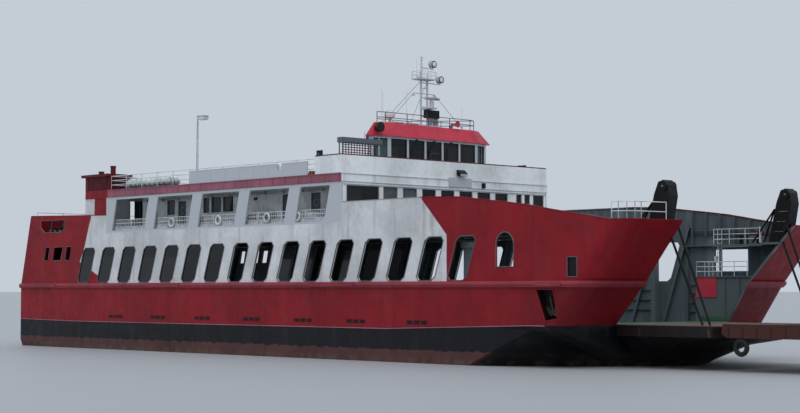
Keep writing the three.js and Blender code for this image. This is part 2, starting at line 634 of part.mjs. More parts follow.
// Place of the door's pin on the slanting wall
function doorPin(side) {
  const [along, off] = [DOOR.pinX - HOUSE.corner, DOOR.pinY - HOUSE.half];
  const [cos, sin] = [Math.cos(HOUSE_TURN), Math.sin(HOUSE_TURN)];
  return [HOUSE.corner + along * cos - off * sin, side * (HOUSE.half + along * sin + off * cos), 0];
}

function wheelhouseRoof() {
  const ring = (out, z) => housePlan(out).map(([x, y]) => [x, y, z]);
  const cap = loft([ring(VISOR.out, VISOR.low), ring(-VISOR.inset, VISOR.high)]);
  const recess = loft([ring(-0.28, VISOR.low - 0.1), ring(-0.75, VISOR.high - 0.15)]);
  return joined([cap], [recess]);
}

// Railing on a path of corners, as flat bars with open bays
function railing(path, height, bays, rows = 2, bar = 0.05) {
  const pieces = [];
  for (let i = 0; i + 1 < path.length; i += 1) {
    const [a, b] = [path[i], path[i + 1]];
    const run = Math.hypot(b[0] - a[0], b[1] - a[1]);
    const count = Math.max(1, Math.round(run / bays));
    const [step, rise] = [(run - bar) / count, (height - bar) / rows];
    const cuts = [];
    for (let c = 0; c < count; c += 1) {
      for (let r = 0; r < rows; r += 1) {
        const z = [r > 0 ? r * rise + bar : -1, (r + 1) * rise];
        cuts.push(block([bar + c * step, (c + 1) * step], [-1, 1], z));
      }
    }
    const plate = joined([block([0, run], [-bar / 2, bar / 2], [0, height])], cuts);
    plate.rotateZ(Math.atan2(b[1] - a[1], b[0] - a[0]));
    pieces.push(plate.translate(a[0] * M, a[1] * M, a[2] * M));
  }
  return joined(pieces);
}

function topDeckRail() {
  const { aft, step, narrow } = TOP_DECK;
  const [fore, wide, z] = [-2.75, HALF - 0.17, ROOF_Z + GAP];
  const half = [[fore, wide], [step + 0.2, wide], [step + 0.2, narrow - 0.2], [aft + 0.2, narrow - 0.2]];
  const path = [...half.map(([x, y]) => [x, -y, z]), ...half.reverse().map(([x, y]) => [x, y, z])];
  return railing(path, 1.05, 1.9);
}

// Mast on the wheelhouse roof, with its platforms, the yard's lamps and the scanner's seat
function mast() {
  const foot = VISOR.high + GAP;
  const pieces = [block([MAST_X - 0.5, MAST_X + 0.35], [-0.5, 1.15], [foot, foot + 0.12])];
  for (const y of [-0.3, 0.3]) {
    pieces.push(bar([MAST_X, y, foot], [MAST_X, y, MAST.platform], 0.07));
  }
  for (let z = 16.3; z < MAST.platform; z += 0.65) {
    pieces.push(block([MAST_X - 0.03, MAST_X + 0.03], [-0.3, 0.3], [z, z + 0.06]));
  }
  pieces.push(block([MAST_X - 0.45, MAST_X + 0.45], [-0.75, 0.75], [MAST.platform, MAST.platform + 0.08]));
  pieces.push(bar([MAST_X, -0.25, MAST.platform], [MAST_X, -0.25, MAST.top], 0.04));
  const arm = MAST.scannerZ - 0.5;
  pieces.push(block([MAST_X, MAST.scannerX + 0.2], [-0.33, 0.33], [arm, arm + 0.08]));
  pieces.push(bar([MAST.scannerX, 0, arm + 0.05], [MAST.scannerX, 0, MAST.scannerZ - GAP], 0.17, 12));
  pieces.push(block([MAST_X - 0.3, MAST_X + 0.3], [0.5, 1.1], [foot, foot + 0.95]));
  for (const [y, z] of [[0.85, 20.0], [1.55, 18.98]]) {
    pieces.push(block([MAST_X - 0.04, MAST_X + 0.04], [-0.28, y], [z - 0.35, z - 0.29]));
    pieces.push(bar([MAST_X, y - 0.04, z - 0.32], [MAST_X, y - 0.04, z], 0.04));
    pieces.push(bar([MAST_X - 0.12, y - 0.04, z], [MAST_X + 0.16, y - 0.04, z], 0.24, 12));
  }
  return joined(pieces);
}

function radarScanner() {
  const gearbox = bar([0, 0, 0], [0, 0, 0.16], 0.14, 12);
  return joined([gearbox, block([-0.1, 0.1], [-0.66, 0.66], [0.12, 0.28])]);
}

function lampPole() {
  const [x, y] = [-15.85, -9.35];
  const foot = ROOF_Z + GAP;
  return joined([
    bar([x, y, foot], [x, y, foot + 0.06], 0.2),
    bar([x, y, foot], [x, y, 16.75], 0.08, 8, 0.05),
    block([x - 0.04, x + 0.9], [y - 0.05, y + 0.05], [16.62, 16.7]),
    block([x + 0.3, x + 0.95], [y - 0.22, y + 0.22], [16.42, 16.64]),
  ]);
}

// Narrow grey awning over the front of the starboard bridge wing, on four posts
function bridgeAwning() {
  const [x, y, z] = BRIDGE.awning;
  const pieces = [block(x, y, z)];
  for (const px of [x[0] + 0.1, x[1] - 0.1]) {
    for (const py of [y[0] + 0.1, y[1] - 0.1]) {
      pieces.push(bar([px, py, ROOF_Z + GAP], [px, py, z[0] + 0.05], BRIDGE.post, 6));
    }
  }
  return joined(pieces);
}

// Funnel casing at the ship's side, with its cap and two exhaust pipes
function funnel(side) {
  const outer = HALF - PLATE - GAP;
  const [x, y] = [[-29.75, -26.62], [side * 7.65, side * outer]];
  const cap = [[x[0] - 0.3, x[1] + 0.1], [side * 7.55, side * (outer + 0.2)]];
  return joined([
    block(x, y, [SALOON_DECK + GAP, 12.97]),
    block(...cap, [12.95, 13.12]),
    bar([-29.0, side * 8.7, 13], [-29.0, side * 8.7, 13.45], 0.2, 12),
    bar([-27.4, side * 8.7, 13], [-27.4, side * 8.7, 13.8], 0.2, 12),
  ]);
}

// Life-raft canisters in their rack
function raftRack(side) {
  const [y0, y1] = [side * 8.05, side * 9.3];
  const foot = ROOF_Z + GAP;
  const length = [RAFTS.first - 0.35, RAFTS.first + (RAFTS.count - 1) * RAFTS.pitch + 0.35];
  const pieces = [8.3, 8.95].map((y) => block(length, [side * y, side * (y + 0.1)], [foot, foot + 0.2]));
  for (let i = 0; i < RAFTS.count; i += 1) {
    const x = RAFTS.first + i * RAFTS.pitch;
    pieces.push(bar([x, y0, foot + 0.42], [x, y1, foot + 0.42], RAFTS.radius, 12));
  }
  return joined(pieces);
}

// Platform inside the bow wing, shaped to its plate
const PLATFORM_Z = [7.16, 7.3];
function bowPlatform(side) {
  const outline = [];
  for (let c = 2; c <= WING_COLUMNS; c += 1) {
    const [x, y] = wingPoint(c / WING_COLUMNS, PLATFORM_Z[0], side, -PLATE - GAP);
    outline.push([x, y]);
  }
  const tip = outline[outline.length - 1];
  outline.push([tip[0] - 1.4, tip[1]], [tip[0] - 2.8, side * 7.7], [outline[0][0], side * 7.7]);
  return levelPlate(outline, [], PLATFORM_Z[0], PLATFORM_Z[1] - PLATFORM_Z[0]);
}

// Rail on the level part of the bow wing's top, round the shoulder
// Casing of plates beside the bow's lane: inner wall that leans at the front, aft end and the ledge on top
function bowCasing(side) {
  const { aft, y, plate, top, foreLow, foreHigh, ledge } = CASING;
  const foot = (x) => deckAt(x) + DECKING + 2 * GAP;
  const wall = [...[aft, DECK_RISE[1], foreLow].map((x) => [x, foot(x)]), [foreHigh, top], [aft, top]];
  const across = [side * y, side * (HALF - PLATE - GAP)];
  return joined([
    sidePlate(wall, [], Math.min(side * y, side * (y + plate)), plate),
    block([aft, aft + plate], across, [foot(aft + plate), top]),
    block([aft, ledge], across, [top - plate, top]),
  ]);
}

function bowRail(side) {
  const z = WING_TOP[WING_TOP.length - 1][1] + GAP;
  const path = [5.1, 6.7, 8.5, 10.3, 12, 14.4].map((c) => {
    const [x, y] = wingPoint(c / WING_COLUMNS, z, side, -PLATE / 2);
    return [x, y, z];
  });
  return railing(path, 1.0, 1.4, 2);
}

// Housing of the ramp's hoisting sheaves, behind the front plate of each bow wing
function hoistTower(side) {
  const foot = PLATFORM_Z[1] + GAP;
  const profile = [[21.7, foot], [22.55, foot], [23.1, 8.3], [23.35, 9.6], [23.25, 10.2], [22.95, 10.5],
    [22.6, 10.4], [22.3, 9.7]];
  return sidePlate(profile, [], Math.min(side * 5.5, side * 6.3), 0.8);
}

// Vent trunk standing on the car deck inside the side shell
function ventTrunk(side) {
  const foot = deckAt(10.6) + DECKING + 2 * GAP;
  const trunk = block([10.2, 10.6], [side * 8.65, side * 9.05], [foot, 7.0]);
  const cowl = block([10.08, 10.72], [side * 8.53, side * 9.17], [6.9, 7.25]);
  return joined([trunk, cowl]);
}

// Edge beam round the nose of the car deck, with the bow ramp's hinge lugs
const LUGS = [-4.7, -2.4, -0.1, 2.2, 4.4];
const LUG_T = 0.13;

function hingeLug(x, z, y0, radius, back) {
  const outline = [[back, z - radius], [x, z - radius]];
  for (let i = 1; i < 6; i += 1) {
    const angle = -Math.PI / 2 + (i * Math.PI) / 6;
    outline.push([x + Math.sign(x - back) * radius * Math.cos(angle), z + radius * Math.sin(angle)]);
  }
  outline.push([x, z + radius], [back, z + radius]);
  return sidePlate(x > back ? outline : outline.reverse(), [], y0, LUG_T);
}

function bowSill() {
  const [inner, outer] = [NOSE_HALF + GAP, NOSE_HALF + 0.12];
  const [aft, face] = [18.95, NOSE + GAP];
  const outline = [[aft, -outer], [face + 0.12, -outer], [face + 0.12, outer], [aft, outer],
    [aft, inner], [face, inner], [face, -inner], [aft, -inner]];
  const pieces = [levelPlate(outline, [], 1.82, 0.6)];
  for (const y of LUGS) {
    pieces.push(hingeLug(RAMP.hingeX, RAMP.hingeZ, y, RAMP.lug, face + 0.05));
  }
  return joined(pieces);
}

// Bow ramp about its hinge: plated top with girders below
function bowRamp() {
  const { length, half, depth, lug } = RAMP;
  const root = 0.2;
  const top = DECK_HIGH - RAMP.hingeZ + DECKING;
  const profile = [[root, top], [length - 0.6, top], [length, top - 0.12], [length, top - 0.24],
    [length - 1.3, top - depth], [root + 0.35, top - depth], [root, top - 0.42]];
  const slab = sidePlate(profile, [], -half, 2 * half);
  const cuts = [];
  const [bays, girder] = [5, 0.16];
  const step = (2 * half - girder) / bays;
  for (let i = 0; i < bays; i += 1) {
    const y = -half + girder + i * step;
    cuts.push(block([root + 0.5, 3.4], [y, y + step - girder], [top - depth - 0.1, top - 0.1]));
    cuts.push(block([3.56, length - 1.3], [y, y + step - girder], [top - depth - 0.1, top - 0.1]));
  }
  const lugs = LUGS.map((y) => hingeLug(0, 0, y + LUG_T + GAP, lug, root + 0.05));
  return joined([joined([slab], cuts), ...lugs]);
}

// Lorry tyre hung under the ramp's outer girder as a fender
function rampFender() {
  const [radius, tube] = [0.36, 0.14];
  const ring = new THREE.TorusGeometry(radius * M, tube * M, 8, 20).rotateX(Math.PI / 2);
  const top = DECK_HIGH - RAMP.hingeZ + DECKING - RAMP.depth;
  return ring.translate(1.4 * M, (-RAMP.half + 0.1) * M, (top - radius - tube - GAP) * M);
}

// Stern sill with its lugs, and the stern flap
const FLAP_LUGS = [-4.9, -1.7, 1.5, 4.7];

function sternSill() {
  const face = STERN - GAP;
  const beam = block([face - 0.1, face], [-FLAP.half, FLAP.half], [1.6, 2.14]);
  const lugs = FLAP_LUGS.map((y) => hingeLug(FLAP.hingeX - 0.05, FLAP.hingeZ, y, FLAP.lug, face - 0.05));
  return joined([beam, ...lugs]);
}

function sternFlap() {
  const { length, half, depth, lug } = FLAP;
  const [root, top] = [-0.16, 0.12];
  const profile = [[root, top], [root, top - depth], [-length + 0.6, top - depth], [-length, top - 0.1],
    [-length, top]];
  const slab = sidePlate(profile, [], -half, 2 * half);
  return joined([slab, ...FLAP_LUGS.map((y) => hingeLug(0, 0, y + LUG_T + GAP, lug, root - 0.05))]);
}

// Propeller about its shaft, turning on X, and rudder about its stock
function propeller() {
  const { radius, hub, blades } = PROP;
  const pieces = [
    bar([-0.62, 0, 0], [-0.02, 0, 0], hub, ROUND),
    bar([-0.8, 0, 0], [-0.6, 0, 0], 0.05, ROUND, hub),
    bar([-0.3, 0, 0], [SHAFT.stub - GAP, 0, 0], SHAFT.pin, ROUND),
  ];
  const outline = [[0, 0], [0.09, 0.2], [0.22, 0.45], [0.2, 0.66], [0.04, 0.75], [-0.12, 0.7], [-0.16, 0.45],
    [-0.08, 0.2]];
  for (let i = 0; i < blades; i += 1) {
    const blade = extruded(outline.map(([u, v]) => [u, v * radius / 0.75]), [], 0.05);
    blade.translate(0, 0, -0.025 * M).rotateX(Math.PI / 2).rotateZ(Math.PI / 3.2);
    blade.translate(-0.33 * M, 0, 0).rotateX((i * 2 * Math.PI) / blades);
    pieces.push(blade);
  }
  return joined(pieces);
}

function rudder() {
  const { fore, aft, thick, top, low, collar, pin, pinLength } = RUDDER;
  const section = [[fore, 0], [fore * 0.7, thick / 2], [-aft * 0.3, thick / 2], [-aft, 0.02], [-aft, -0.02],
    [-aft * 0.3, -thick / 2], [fore * 0.7, -thick / 2]];
  return joined([
    levelPlate(section.reverse(), [], low, top - low - 0.08),
    bar([0, 0, low + 0.3], [0, 0, top + pinLength - GAP], pin, ROUND),
    bar([0, 0, low + 0.3], [0, 0, top - GAP], collar, ROUND),
  ]);
}

// Anchor at the back of its pocket
function anchor(side) {
  const outline = [[-0.08, 0.7], [-0.08, -0.35], [-0.42, 0.1], [-0.52, 0.12], [-0.5, -0.35], [-0.3, -0.62],
    [0.3, -0.62], [0.5, -0.35], [0.52, 0.12], [0.42, 0.1], [0.08, -0.35], [0.08, 0.7]];
  const back = ANCHOR.depth - GAP;
  const low = Math.min(side * (HALF - back), side * (HALF - back + ANCHOR.thick));
  const plate = sidePlate(outline.map(([x, z]) => [x * ANCHOR.size, z * ANCHOR.size]), [], low, ANCHOR.thick);
  return plate.rotateY(-THREE.MathUtils.degToRad(ANCHOR.lean)).translate(ANCHOR.x * M, 0, ANCHOR.z * M);
}

// Parts and their places

add('hull', hull(), 'hullBlack');
add('car_deck', carDeck(), 'deckGreen');
add('stern_frame', sternFrame(), 'hullRed');
add('stern_sill', sternSill(), 'dark');
add('bow_sill', bowSill(), 'rust');
add('saloon_deck', saloonDeck(), 'white');
add('saloon_front', saloonFront(), 'white');
add('saloon_aft_wall', saloonAft(), 'white');
add('top_deck', topDeck(), 'white');
add('top_deck_rail', topDeckRail(), 'white');
add('stair', stair(), 'grey');
add('bridge_bulwark', bridgeBulwark(), 'white');
add('wheelhouse', wheelhouseWalls(), 'white');
add('wheelhouse_roof', wheelhouseRoof(), 'visorRed');
const roofEdge = housePlan(-0.55).map(([x, y]) => [x, y, VISOR.high + GAP]);
add('roof_rail', railing([...roofEdge, roofEdge[0]], 0.75, 1.9), 'white');
add('bridge_awning', bridgeAwning(), 'grey');
add('mast', mast(), 'white');
add('lamp_pole', lampPole(), 'white');

for (const [name, side] of Object.entries(SIDES)) {
  add(`side_shell_${name}`, sideShell(side), 'hullRed');
  add(`gallery_frame_${name}`, gallerySide(side), 'white');
  const galleryEdge = [-26.3, -1.3].map((x) => [x, side * 9.5, SALOON_DECK + GAP]);
  add(`gallery_rail_${name}`, railing(galleryEdge, 0.95, 2.5), 'white');
  add(`saloon_side_${name}`, saloonSide(side), 'white');
  add(`screen_${name}`, screen(side), 'white');
  add(`funnel_${name}`, funnel(side), 'hullRed');
  add(`raft_rack_${name}`, raftRack(side), 'white');
  add(`bow_wing_${name}`, bowWing(side), 'hullRed');
  add(`strake_${name}`, strake(side), 'hullRed');
  add(`bow_platform_${name}`, bowPlatform(side), 'grey');
  add(`bow_casing_${name}`, bowCasing(side), 'grey');
  add(`bow_rail_${name}`, bowRail(side), 'white');
  add(`vent_trunk_${name}`, ventTrunk(side), 'grey');
  add(`hoist_tower_${name}`, hoistTower(side), 'dark');
  add(`anchor_${name}`, anchor(side), 'dark');
  add(`wheelhouse_door_${name}`, wheelhouseDoor(side), 'grey', doorPin(side));
  add(`propeller_${name}`, propeller(), 'bronze', [SHAFT.aft, side * SHAFT.y, SHAFT.z]);
  add(`rudder_${name}`, rudder(), 'hullBlack', [RUDDER.x, side * SHAFT.y, 0]);
}

add('bow_ramp', bowRamp(), 'rust', [RAMP.hingeX, 0, RAMP.hingeZ]);
add('ramp_fender', rampFender(), 'tyre', [RAMP.hingeX, 0, RAMP.hingeZ]);
add('stern_flap', sternFlap(), 'dark', [FLAP.hingeX - 0.05, 0, FLAP.hingeZ]);
add('radar_scanner', radarScanner(), 'white', [MAST.scannerX, 0, MAST.scannerZ]);

export default ship;
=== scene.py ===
"""A passenger and vehicle ferry at half size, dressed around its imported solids.

Lengths below are metres of the real ship. A place is (station, y, z): station counts forward from the front of
the saloon, y is to port of the centreline and z is above the waterline. at() turns a place into the model's own
metres.
"""

import json
import logging
import math
from dataclasses import dataclass, field
from enum import Enum
from typing import Any, Callable, Iterable, Sequence

import bmesh
import bpy
from mathutils import Matrix, Vector

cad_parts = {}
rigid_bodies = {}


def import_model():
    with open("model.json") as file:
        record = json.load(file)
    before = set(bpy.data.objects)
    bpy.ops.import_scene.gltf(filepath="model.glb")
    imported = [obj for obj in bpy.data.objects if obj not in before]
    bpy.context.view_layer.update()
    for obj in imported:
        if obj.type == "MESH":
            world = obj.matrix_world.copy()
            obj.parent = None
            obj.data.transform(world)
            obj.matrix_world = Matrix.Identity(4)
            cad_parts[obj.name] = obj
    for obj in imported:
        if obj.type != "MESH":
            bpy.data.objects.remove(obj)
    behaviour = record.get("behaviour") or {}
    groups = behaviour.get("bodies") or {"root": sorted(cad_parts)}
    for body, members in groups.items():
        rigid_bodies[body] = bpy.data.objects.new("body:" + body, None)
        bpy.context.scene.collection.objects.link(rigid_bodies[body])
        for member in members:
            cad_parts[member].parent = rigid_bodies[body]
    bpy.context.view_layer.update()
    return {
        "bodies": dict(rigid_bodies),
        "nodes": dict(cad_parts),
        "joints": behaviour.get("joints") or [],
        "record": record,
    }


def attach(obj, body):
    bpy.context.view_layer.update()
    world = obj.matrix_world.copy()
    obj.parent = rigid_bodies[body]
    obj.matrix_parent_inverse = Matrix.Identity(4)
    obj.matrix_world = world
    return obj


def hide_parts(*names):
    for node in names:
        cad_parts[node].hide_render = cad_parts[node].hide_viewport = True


LOG = logging.getLogger("ferry")

SCALE = 0.5
FRONT_X = 6.65
SIDES = {"starboard": -1, "port": 1}

HALF_BEAM = 9.75
PLATFORM_Z, SALOON_Z, TOP_Z, ROOF_Z = 7.3, 8.7, 11.9, 15.6
UP, AHEAD, ASTERN, ABEAM = (0, 0, 1), (1, 0, 0), (-1, 0, 0), (0, 1, 0)
SMOOTH_ANGLE = math.radians(35)
BEVEL_ANGLE = math.radians(40)

Place = tuple[float, float, float]
Corner = tuple[float, float]
Span = tuple[float, float]
Row = tuple[float, float, int]
Colour = tuple[float, float, float]
Thing = bpy.types.Object
Material = bpy.types.Material
Socket = bpy.types.NodeSocket


def at(station: float, y: float, z: float) -> Vector:
    """Turns a place on the real ship into a point of the model, in the model's metres."""
    return Vector(((station + FRONT_X) * SCALE, y * SCALE, z * SCALE))


def tint(red: int, green: int, blue: int) -> Colour:
    """Turns a screen colour from 0 to 255 into the linear colour that a shader takes."""
    return tuple(((c / 255 + 0.055) / 1.055) ** 2.4 if c > 10 else c / 3294.6 for c in (red, green, blue))


class Wire:
    """A number in a shader's tree. Arithmetic on it adds Math nodes."""

    def __init__(self, shader: "Shader", socket: Socket) -> None:
        """Keeps the tree and the socket that the number comes from."""
        self.shader = shader
        self.socket = socket

    def math(self, operation: str, *values: "Wire | float") -> "Wire":
        """Adds one Math node on the values, and gives its result."""
        return self.shader.number("ShaderNodeMath", {"operation": operation}, dict(enumerate(values)))

    def __add__(self, other: "Wire | float") -> "Wire":
        """Adds."""
        return self.math("ADD", self, other)

    __radd__ = __add__

    def __sub__(self, other: "Wire | float") -> "Wire":
        """Takes the other from this."""
        return self.math("SUBTRACT", self, other)

    def __rsub__(self, other: "Wire | float") -> "Wire":
        """Takes this from the other."""
        return self.math("SUBTRACT", other, self)

    def __mul__(self, other: "Wire | float") -> "Wire":
        """Multiplies."""
        return self.math("MULTIPLY", self, other)

    __rmul__ = __mul__

    def __truediv__(self, other: "Wire | float") -> "Wire":
        """Divides this by the other."""
        return self.math("DIVIDE", self, other)

    def __rtruediv__(self, other: "Wire | float") -> "Wire":
        """Divides the other by this."""
        return self.math("DIVIDE", other, self)

    def __mod__(self, other: "Wire | float") -> "Wire":
        """Remainder of this by the other, never negative."""
        return self.math("FLOORED_MODULO", self, other)

    def __rmod__(self, other: "Wire | float") -> "Wire":
        """Remainder of the other by this, never negative."""
        return self.math("FLOORED_MODULO", other, self)

    def size(self) -> "Wire":
        """Gives the number without its sign."""
        return self.math("ABSOLUTE", self)

    def ramp(self, low: float, high: float, start: float = 0.0, end: float = 1.0, smooth: bool = True) -> "Wire":
        """Maps low to high onto start to end, held outside them, and eased in and out where it is smooth."""
        settings = {"interpolation_type": "SMOOTHSTEP" if smooth else "LINEAR", "clamp": True}
        return self.shader.number("ShaderNodeMapRange", settings, {0: self, 1: low, 2: high, 3: start, 4: end})

    def above(self, edge: "Wire | float", soft: float = 0.01) -> "Wire":
        """Gives 1 where the number is over an edge and 0 below it, over a soft width."""
        return (self - edge).ramp(-soft, soft)

    def within(self, low: float, high: float, soft: float = 0.01) -> "Wire":
        """Gives 1 between two values and 0 outside them."""
        return self.above(low, soft) * (1 - self.above(high, soft))


class Graph:
    """A node tree, and the way that nodes are added to it."""

    tree: bpy.types.NodeTree

    def node(self, kind: str, settings: dict[str, Any], sockets: dict[Any, Any]) -> bpy.types.Node:
        """Adds one node.

        Args:
            kind: The node's type.
            settings: Its properties.
            sockets: Values or links of its inputs, by name or number.

        Returns:
            The node.
        """
        node = self.tree.nodes.new(kind)
        for name, value in settings.items():
            setattr(node, name, value)
        for name, value in sockets.items():
            source = value.socket if isinstance(value, Wire) else value
            if isinstance(source, Socket):
                self.tree.links.new(source, node.inputs[name])
            elif isinstance(source, tuple) and node.inputs[name].type == "RGBA":
                node.inputs[name].default_value = (*source[:3], 1.0)
            else:
                node.inputs[name].default_value = source
        return node


class Shader(Graph):
    """One material's node tree, written with Wires."""

    def __init__(self, name: str) -> None:
        """Makes an empty material.

        Args:
            name: The material's name.
        """
        self.material = bpy.data.materials.new(name)
        self.material.use_nodes = True
        self.tree = self.material.node_tree
        self.tree.nodes.clear()
        self.output = self.tree.nodes.new("ShaderNodeOutputMaterial")
        self.coordinates = self.node("ShaderNodeTexCoord", {}, {})

    def number(self, kind: str, settings: dict[str, Any], sockets: dict[Any, Any]) -> Wire:
        """Adds one node, and gives its first output as a number."""
        return Wire(self, self.node(kind, settings, sockets).outputs[0])

    def split(self, vector: Socket) -> tuple[Wire, Wire, Wire]:
        """Takes a vector apart into three numbers."""
        return tuple(Wire(self, out) for out in self.node("ShaderNodeSeparateXYZ", {}, {0: vector}).outputs)

    def place(self) -> tuple[Wire, Wire, Wire]:
        """Gives station, y and z of the real ship as three numbers."""
        doubled = self.node("ShaderNodeVectorMath", {"operation": "SCALE"},
                            {0: self.coordinates.outputs["Object"], "Scale": 1 / SCALE})
        x, y, z = self.split(doubled.outputs[0])
        return x - FRONT_X, y, z

    def facing(self) -> tuple[Wire, Wire, Wire]:
        """Gives the surface's direction on the piece as three numbers."""
        return self.split(self.coordinates.outputs["Normal"])

    def noise(self, scale: float, detail: float = 3.0, stretch: Place = (1, 1, 1), shift: float = 0.0) -> Wire:
        """Adds a noise around one half over the real ship's places, with its features in a metre as the scale."""
        mapped = self.node("ShaderNodeMapping", {}, {"Vector": self.coordinates.outputs["Object"],
                                                     "Location": (shift, shift, shift),
                                                     "Scale": tuple(s / SCALE for s in stretch)})
        return self.number("ShaderNodeTexNoise", {}, {"Vector": mapped.outputs[0], "Scale": scale, "Detail": detail,
                                                      "Roughness": 0.55})

    def mix(self, factor: Wire | float, first: Any, second: Any, kind: str = "MIX") -> Socket:
        """Mixes two colours, each a tuple or a socket, by the share of the second."""
        node = self.node("ShaderNodeMix", {"data_type": "RGBA", "blend_type": kind}, {0: factor, 6: first, 7: second})
        return node.outputs[2]

    def shade(self, colour: Any, amount: Wire) -> Socket:
        """Multiplies a colour by a number."""
        grey = self.node("ShaderNodeCombineColor", {}, {0: amount, 1: amount, 2: amount})
        return self.mix(1.0, colour, grey.outputs[0], "MULTIPLY")

    def surface(self, colour: Any, roughness: Any, height: Wire | None = None, depth: float = 0.01,
                metallic: Any = 0.0, **fixed: Any) -> Material:
        """Ends the tree in a Principled surface.

        Args:
            colour: Base colour.
            roughness: Roughness.
            height: Relief for a Bump node, from 0 to 1.
            depth: Depth of the relief in the model's metres.
            metallic: How metallic the surface is.
            fixed: Other sockets' constants, by name with underscores.

        Returns:
            The material.
        """
        sockets = {"Base Color": colour, "Roughness": roughness, "Metallic": metallic}
        sockets.update({name.replace("_", " "): value for name, value in fixed.items()})
        if height is not None:
            bump = self.node("ShaderNodeBump", {}, {"Height": height, "Distance": depth, "Strength": 1.0})
            sockets["Normal"] = bump.outputs[0]
        shader = self.node("ShaderNodeBsdfPrincipled", {}, sockets)
        self.tree.links.new(shader.outputs[0], self.output.inputs[0])
        return self.material


# Finishes


RED = tint(140, 16, 30)
WHITE = tint(216, 218, 221)
# Painted light: a lighter copy of the white paint for faces that look forward and catch more light than the sides.
LIT_WHITE = tint(244, 247, 250)
RUST = tint(104, 62, 44)
SOOT = tint(16, 16, 18)
BLACK = tint(12, 14, 22)


@dataclass(frozen=True)
class Paint:
    """Weathered paint on steel plate."""

    name: str
    colour: Colour
    roughness: float = 0.5
    streaks: float = 0.35
    rust: float = 0.25
    dents: float = 0.006
    frames: float = 0.6

    def weather(self, shader: Shader, colour: Any) -> tuple[Socket, Wire, Wire]:
        """Fades, streaks and dents a colour.

        Args:
            shader: The tree to write in.
            colour: The clean colour, or its socket.

        Returns:
            The weathered colour, its roughness and the relief.
        """
        station, _, z = shader.place()
        blotch = shader.noise(0.35, 4.0).ramp(0.3, 0.7, 0.82, 1.12)
        fine = shader.noise(3.0, 3.0, shift=7.0).ramp(0.25, 0.75, 0.94, 1.05)
        colour = shader.shade(colour, blotch * fine)
        runs = shader.noise(1.6, 3.0, (1, 1, 0.09), 3.0).ramp(0.52, 0.78)
        colour = shader.mix(runs * self.streaks, colour, tuple(c * 0.42 for c in self.colour))
        faded = shader.noise(0.8, 2.0, (1, 1, 0.2), 11.0).ramp(0.5, 0.85)
        colour = shader.mix(faded * self.streaks * 0.5, colour, tuple(c * 0.8 + 0.07 for c in self.colour))
        spots = shader.noise(2.4, 5.0, (1, 1, 0.25), 19.0).ramp(0.64, 0.74)
        colour = shader.mix(spots * self.rust, colour, RUST)
        frame = ((station % self.frames) / self.frames - 0.5).size() * 2
        row = ((z % 0.9) / 0.9 - 0.5).size() * 2
        relief = shader.noise(0.9, 1.0, shift=2.0) * 0.6 + frame * row * 0.4
        rough = shader.noise(2.0, 3.0, shift=5.0).ramp(0.2, 0.8, self.roughness - 0.08, self.roughness + 0.12)
        return colour, rough, relief

    def end(self, shader: Shader, colour: Any, rough: Wire, relief: Wire) -> Material:
        """Ends a tree in this paint's sheen and dents."""
        return shader.surface(colour, rough, relief, self.dents, Specular_IOR_Level=0.25)

    def make(self) -> Material:
        """Builds the material."""
        shader = Shader(self.name)
        return self.end(shader, *self.weather(shader, self.colour))


@dataclass(frozen=True)
class Topside(Paint):
    """Red and white paint of the ship's sides, with grey inside."""

    inside: Colour = tint(112, 124, 132)
    white: Colour = WHITE

    def make(self) -> Material:
        """Builds the material: white amidships, red at both ends and below, grey on the inner faces.

        Returns:
            The material.
        """
        shader = Shader(self.name)
        station, y, z = shader.place()
        wobble = shader.noise(1.2, 2.0, shift=31.0) * 0.06
        aft = (z.ramp(4.85, 6.55, -26.2, -30.3, smooth=False) + z.ramp(6.55, 7.6, 0.0, 0.6, smooth=False)
               + z.ramp(7.6, 9.94, 0.0, 0.9, smooth=False) + wobble)
        fore = z.ramp(7.7, 9.9, 9.44, 7.3, smooth=False) + wobble
        pale = station.above(aft, 0.03) * (1 - station.above(fore, 0.03)) * z.above(4.9, 0.02)
        outside = shader.mix(pale, self.colour, self.white)
        colour, rough, relief = self.weather(shader, outside)
        _, facing, _ = shader.facing()
        inward = (0 - facing * y.math("SIGN", y)).above(0.3, 0.1)
        stain = shader.noise(1.3, 4.0, (1, 1, 0.15), 23.0).ramp(0.45, 0.75, 0.55, 1.05)
        # Painted shade: the red below the strake is darkened towards the bow, where the lower plating leans down away
        # from the sky.
        painted_shade = (1 - z.above(4.7, 0.3)) * station.above(15.5, 1.5) * 0.45
        colour = shader.mix(painted_shade, colour, tuple(c * 0.25 for c in self.colour))
        colour = shader.mix(inward, colour, shader.shade(self.inside, stain))
        return self.end(shader, colour, rough, relief)


@dataclass(frozen=True)
class Stack(Paint):
    """Funnel casing: white and dark red below the deck edge, red above it and sooty at the head."""

    def make(self) -> Material:
        """Builds the material.

        Returns:
            The material.
        """
        shader = Shader(self.name)
        station, _, z = shader.place()
        pale = (1 - station.above(-28.45, 0.02)) * (1 - z.above(11.3, 0.02))
        base = shader.mix(pale, self.colour, WHITE)
        ahead, _, _ = shader.facing()
        base = shader.mix(ahead.above(0.5) * (1 - z.above(11.3, 0.02)), base, WHITE)
        soot = (z + shader.noise(1.1, 4.0, (1, 1, 0.3)) * 0.5).ramp(12.1, 13.0) * 0.55
        return self.end(shader, *self.weather(shader, shader.mix(soot, base, SOOT)))


@dataclass(frozen=True)
class DeckEdge(Paint):
    """Top deck: red edge along the sides, white in front and below, deck paint above."""

    deck: Colour = tint(96, 112, 104)

    def make(self) -> Material:
        """Builds the material by the way each face looks.

        Returns:
            The material.
        """
        shader = Shader(self.name)
        _, across, up = shader.facing()
        # Painted light: faces that look neither sideways nor up take the lit copy of the white.
        colour = shader.mix(across.size().above(0.5), LIT_WHITE, self.colour)
        colour = shader.mix(up.above(0.5), colour, self.deck)
        return self.end(shader, *self.weather(shader, colour))


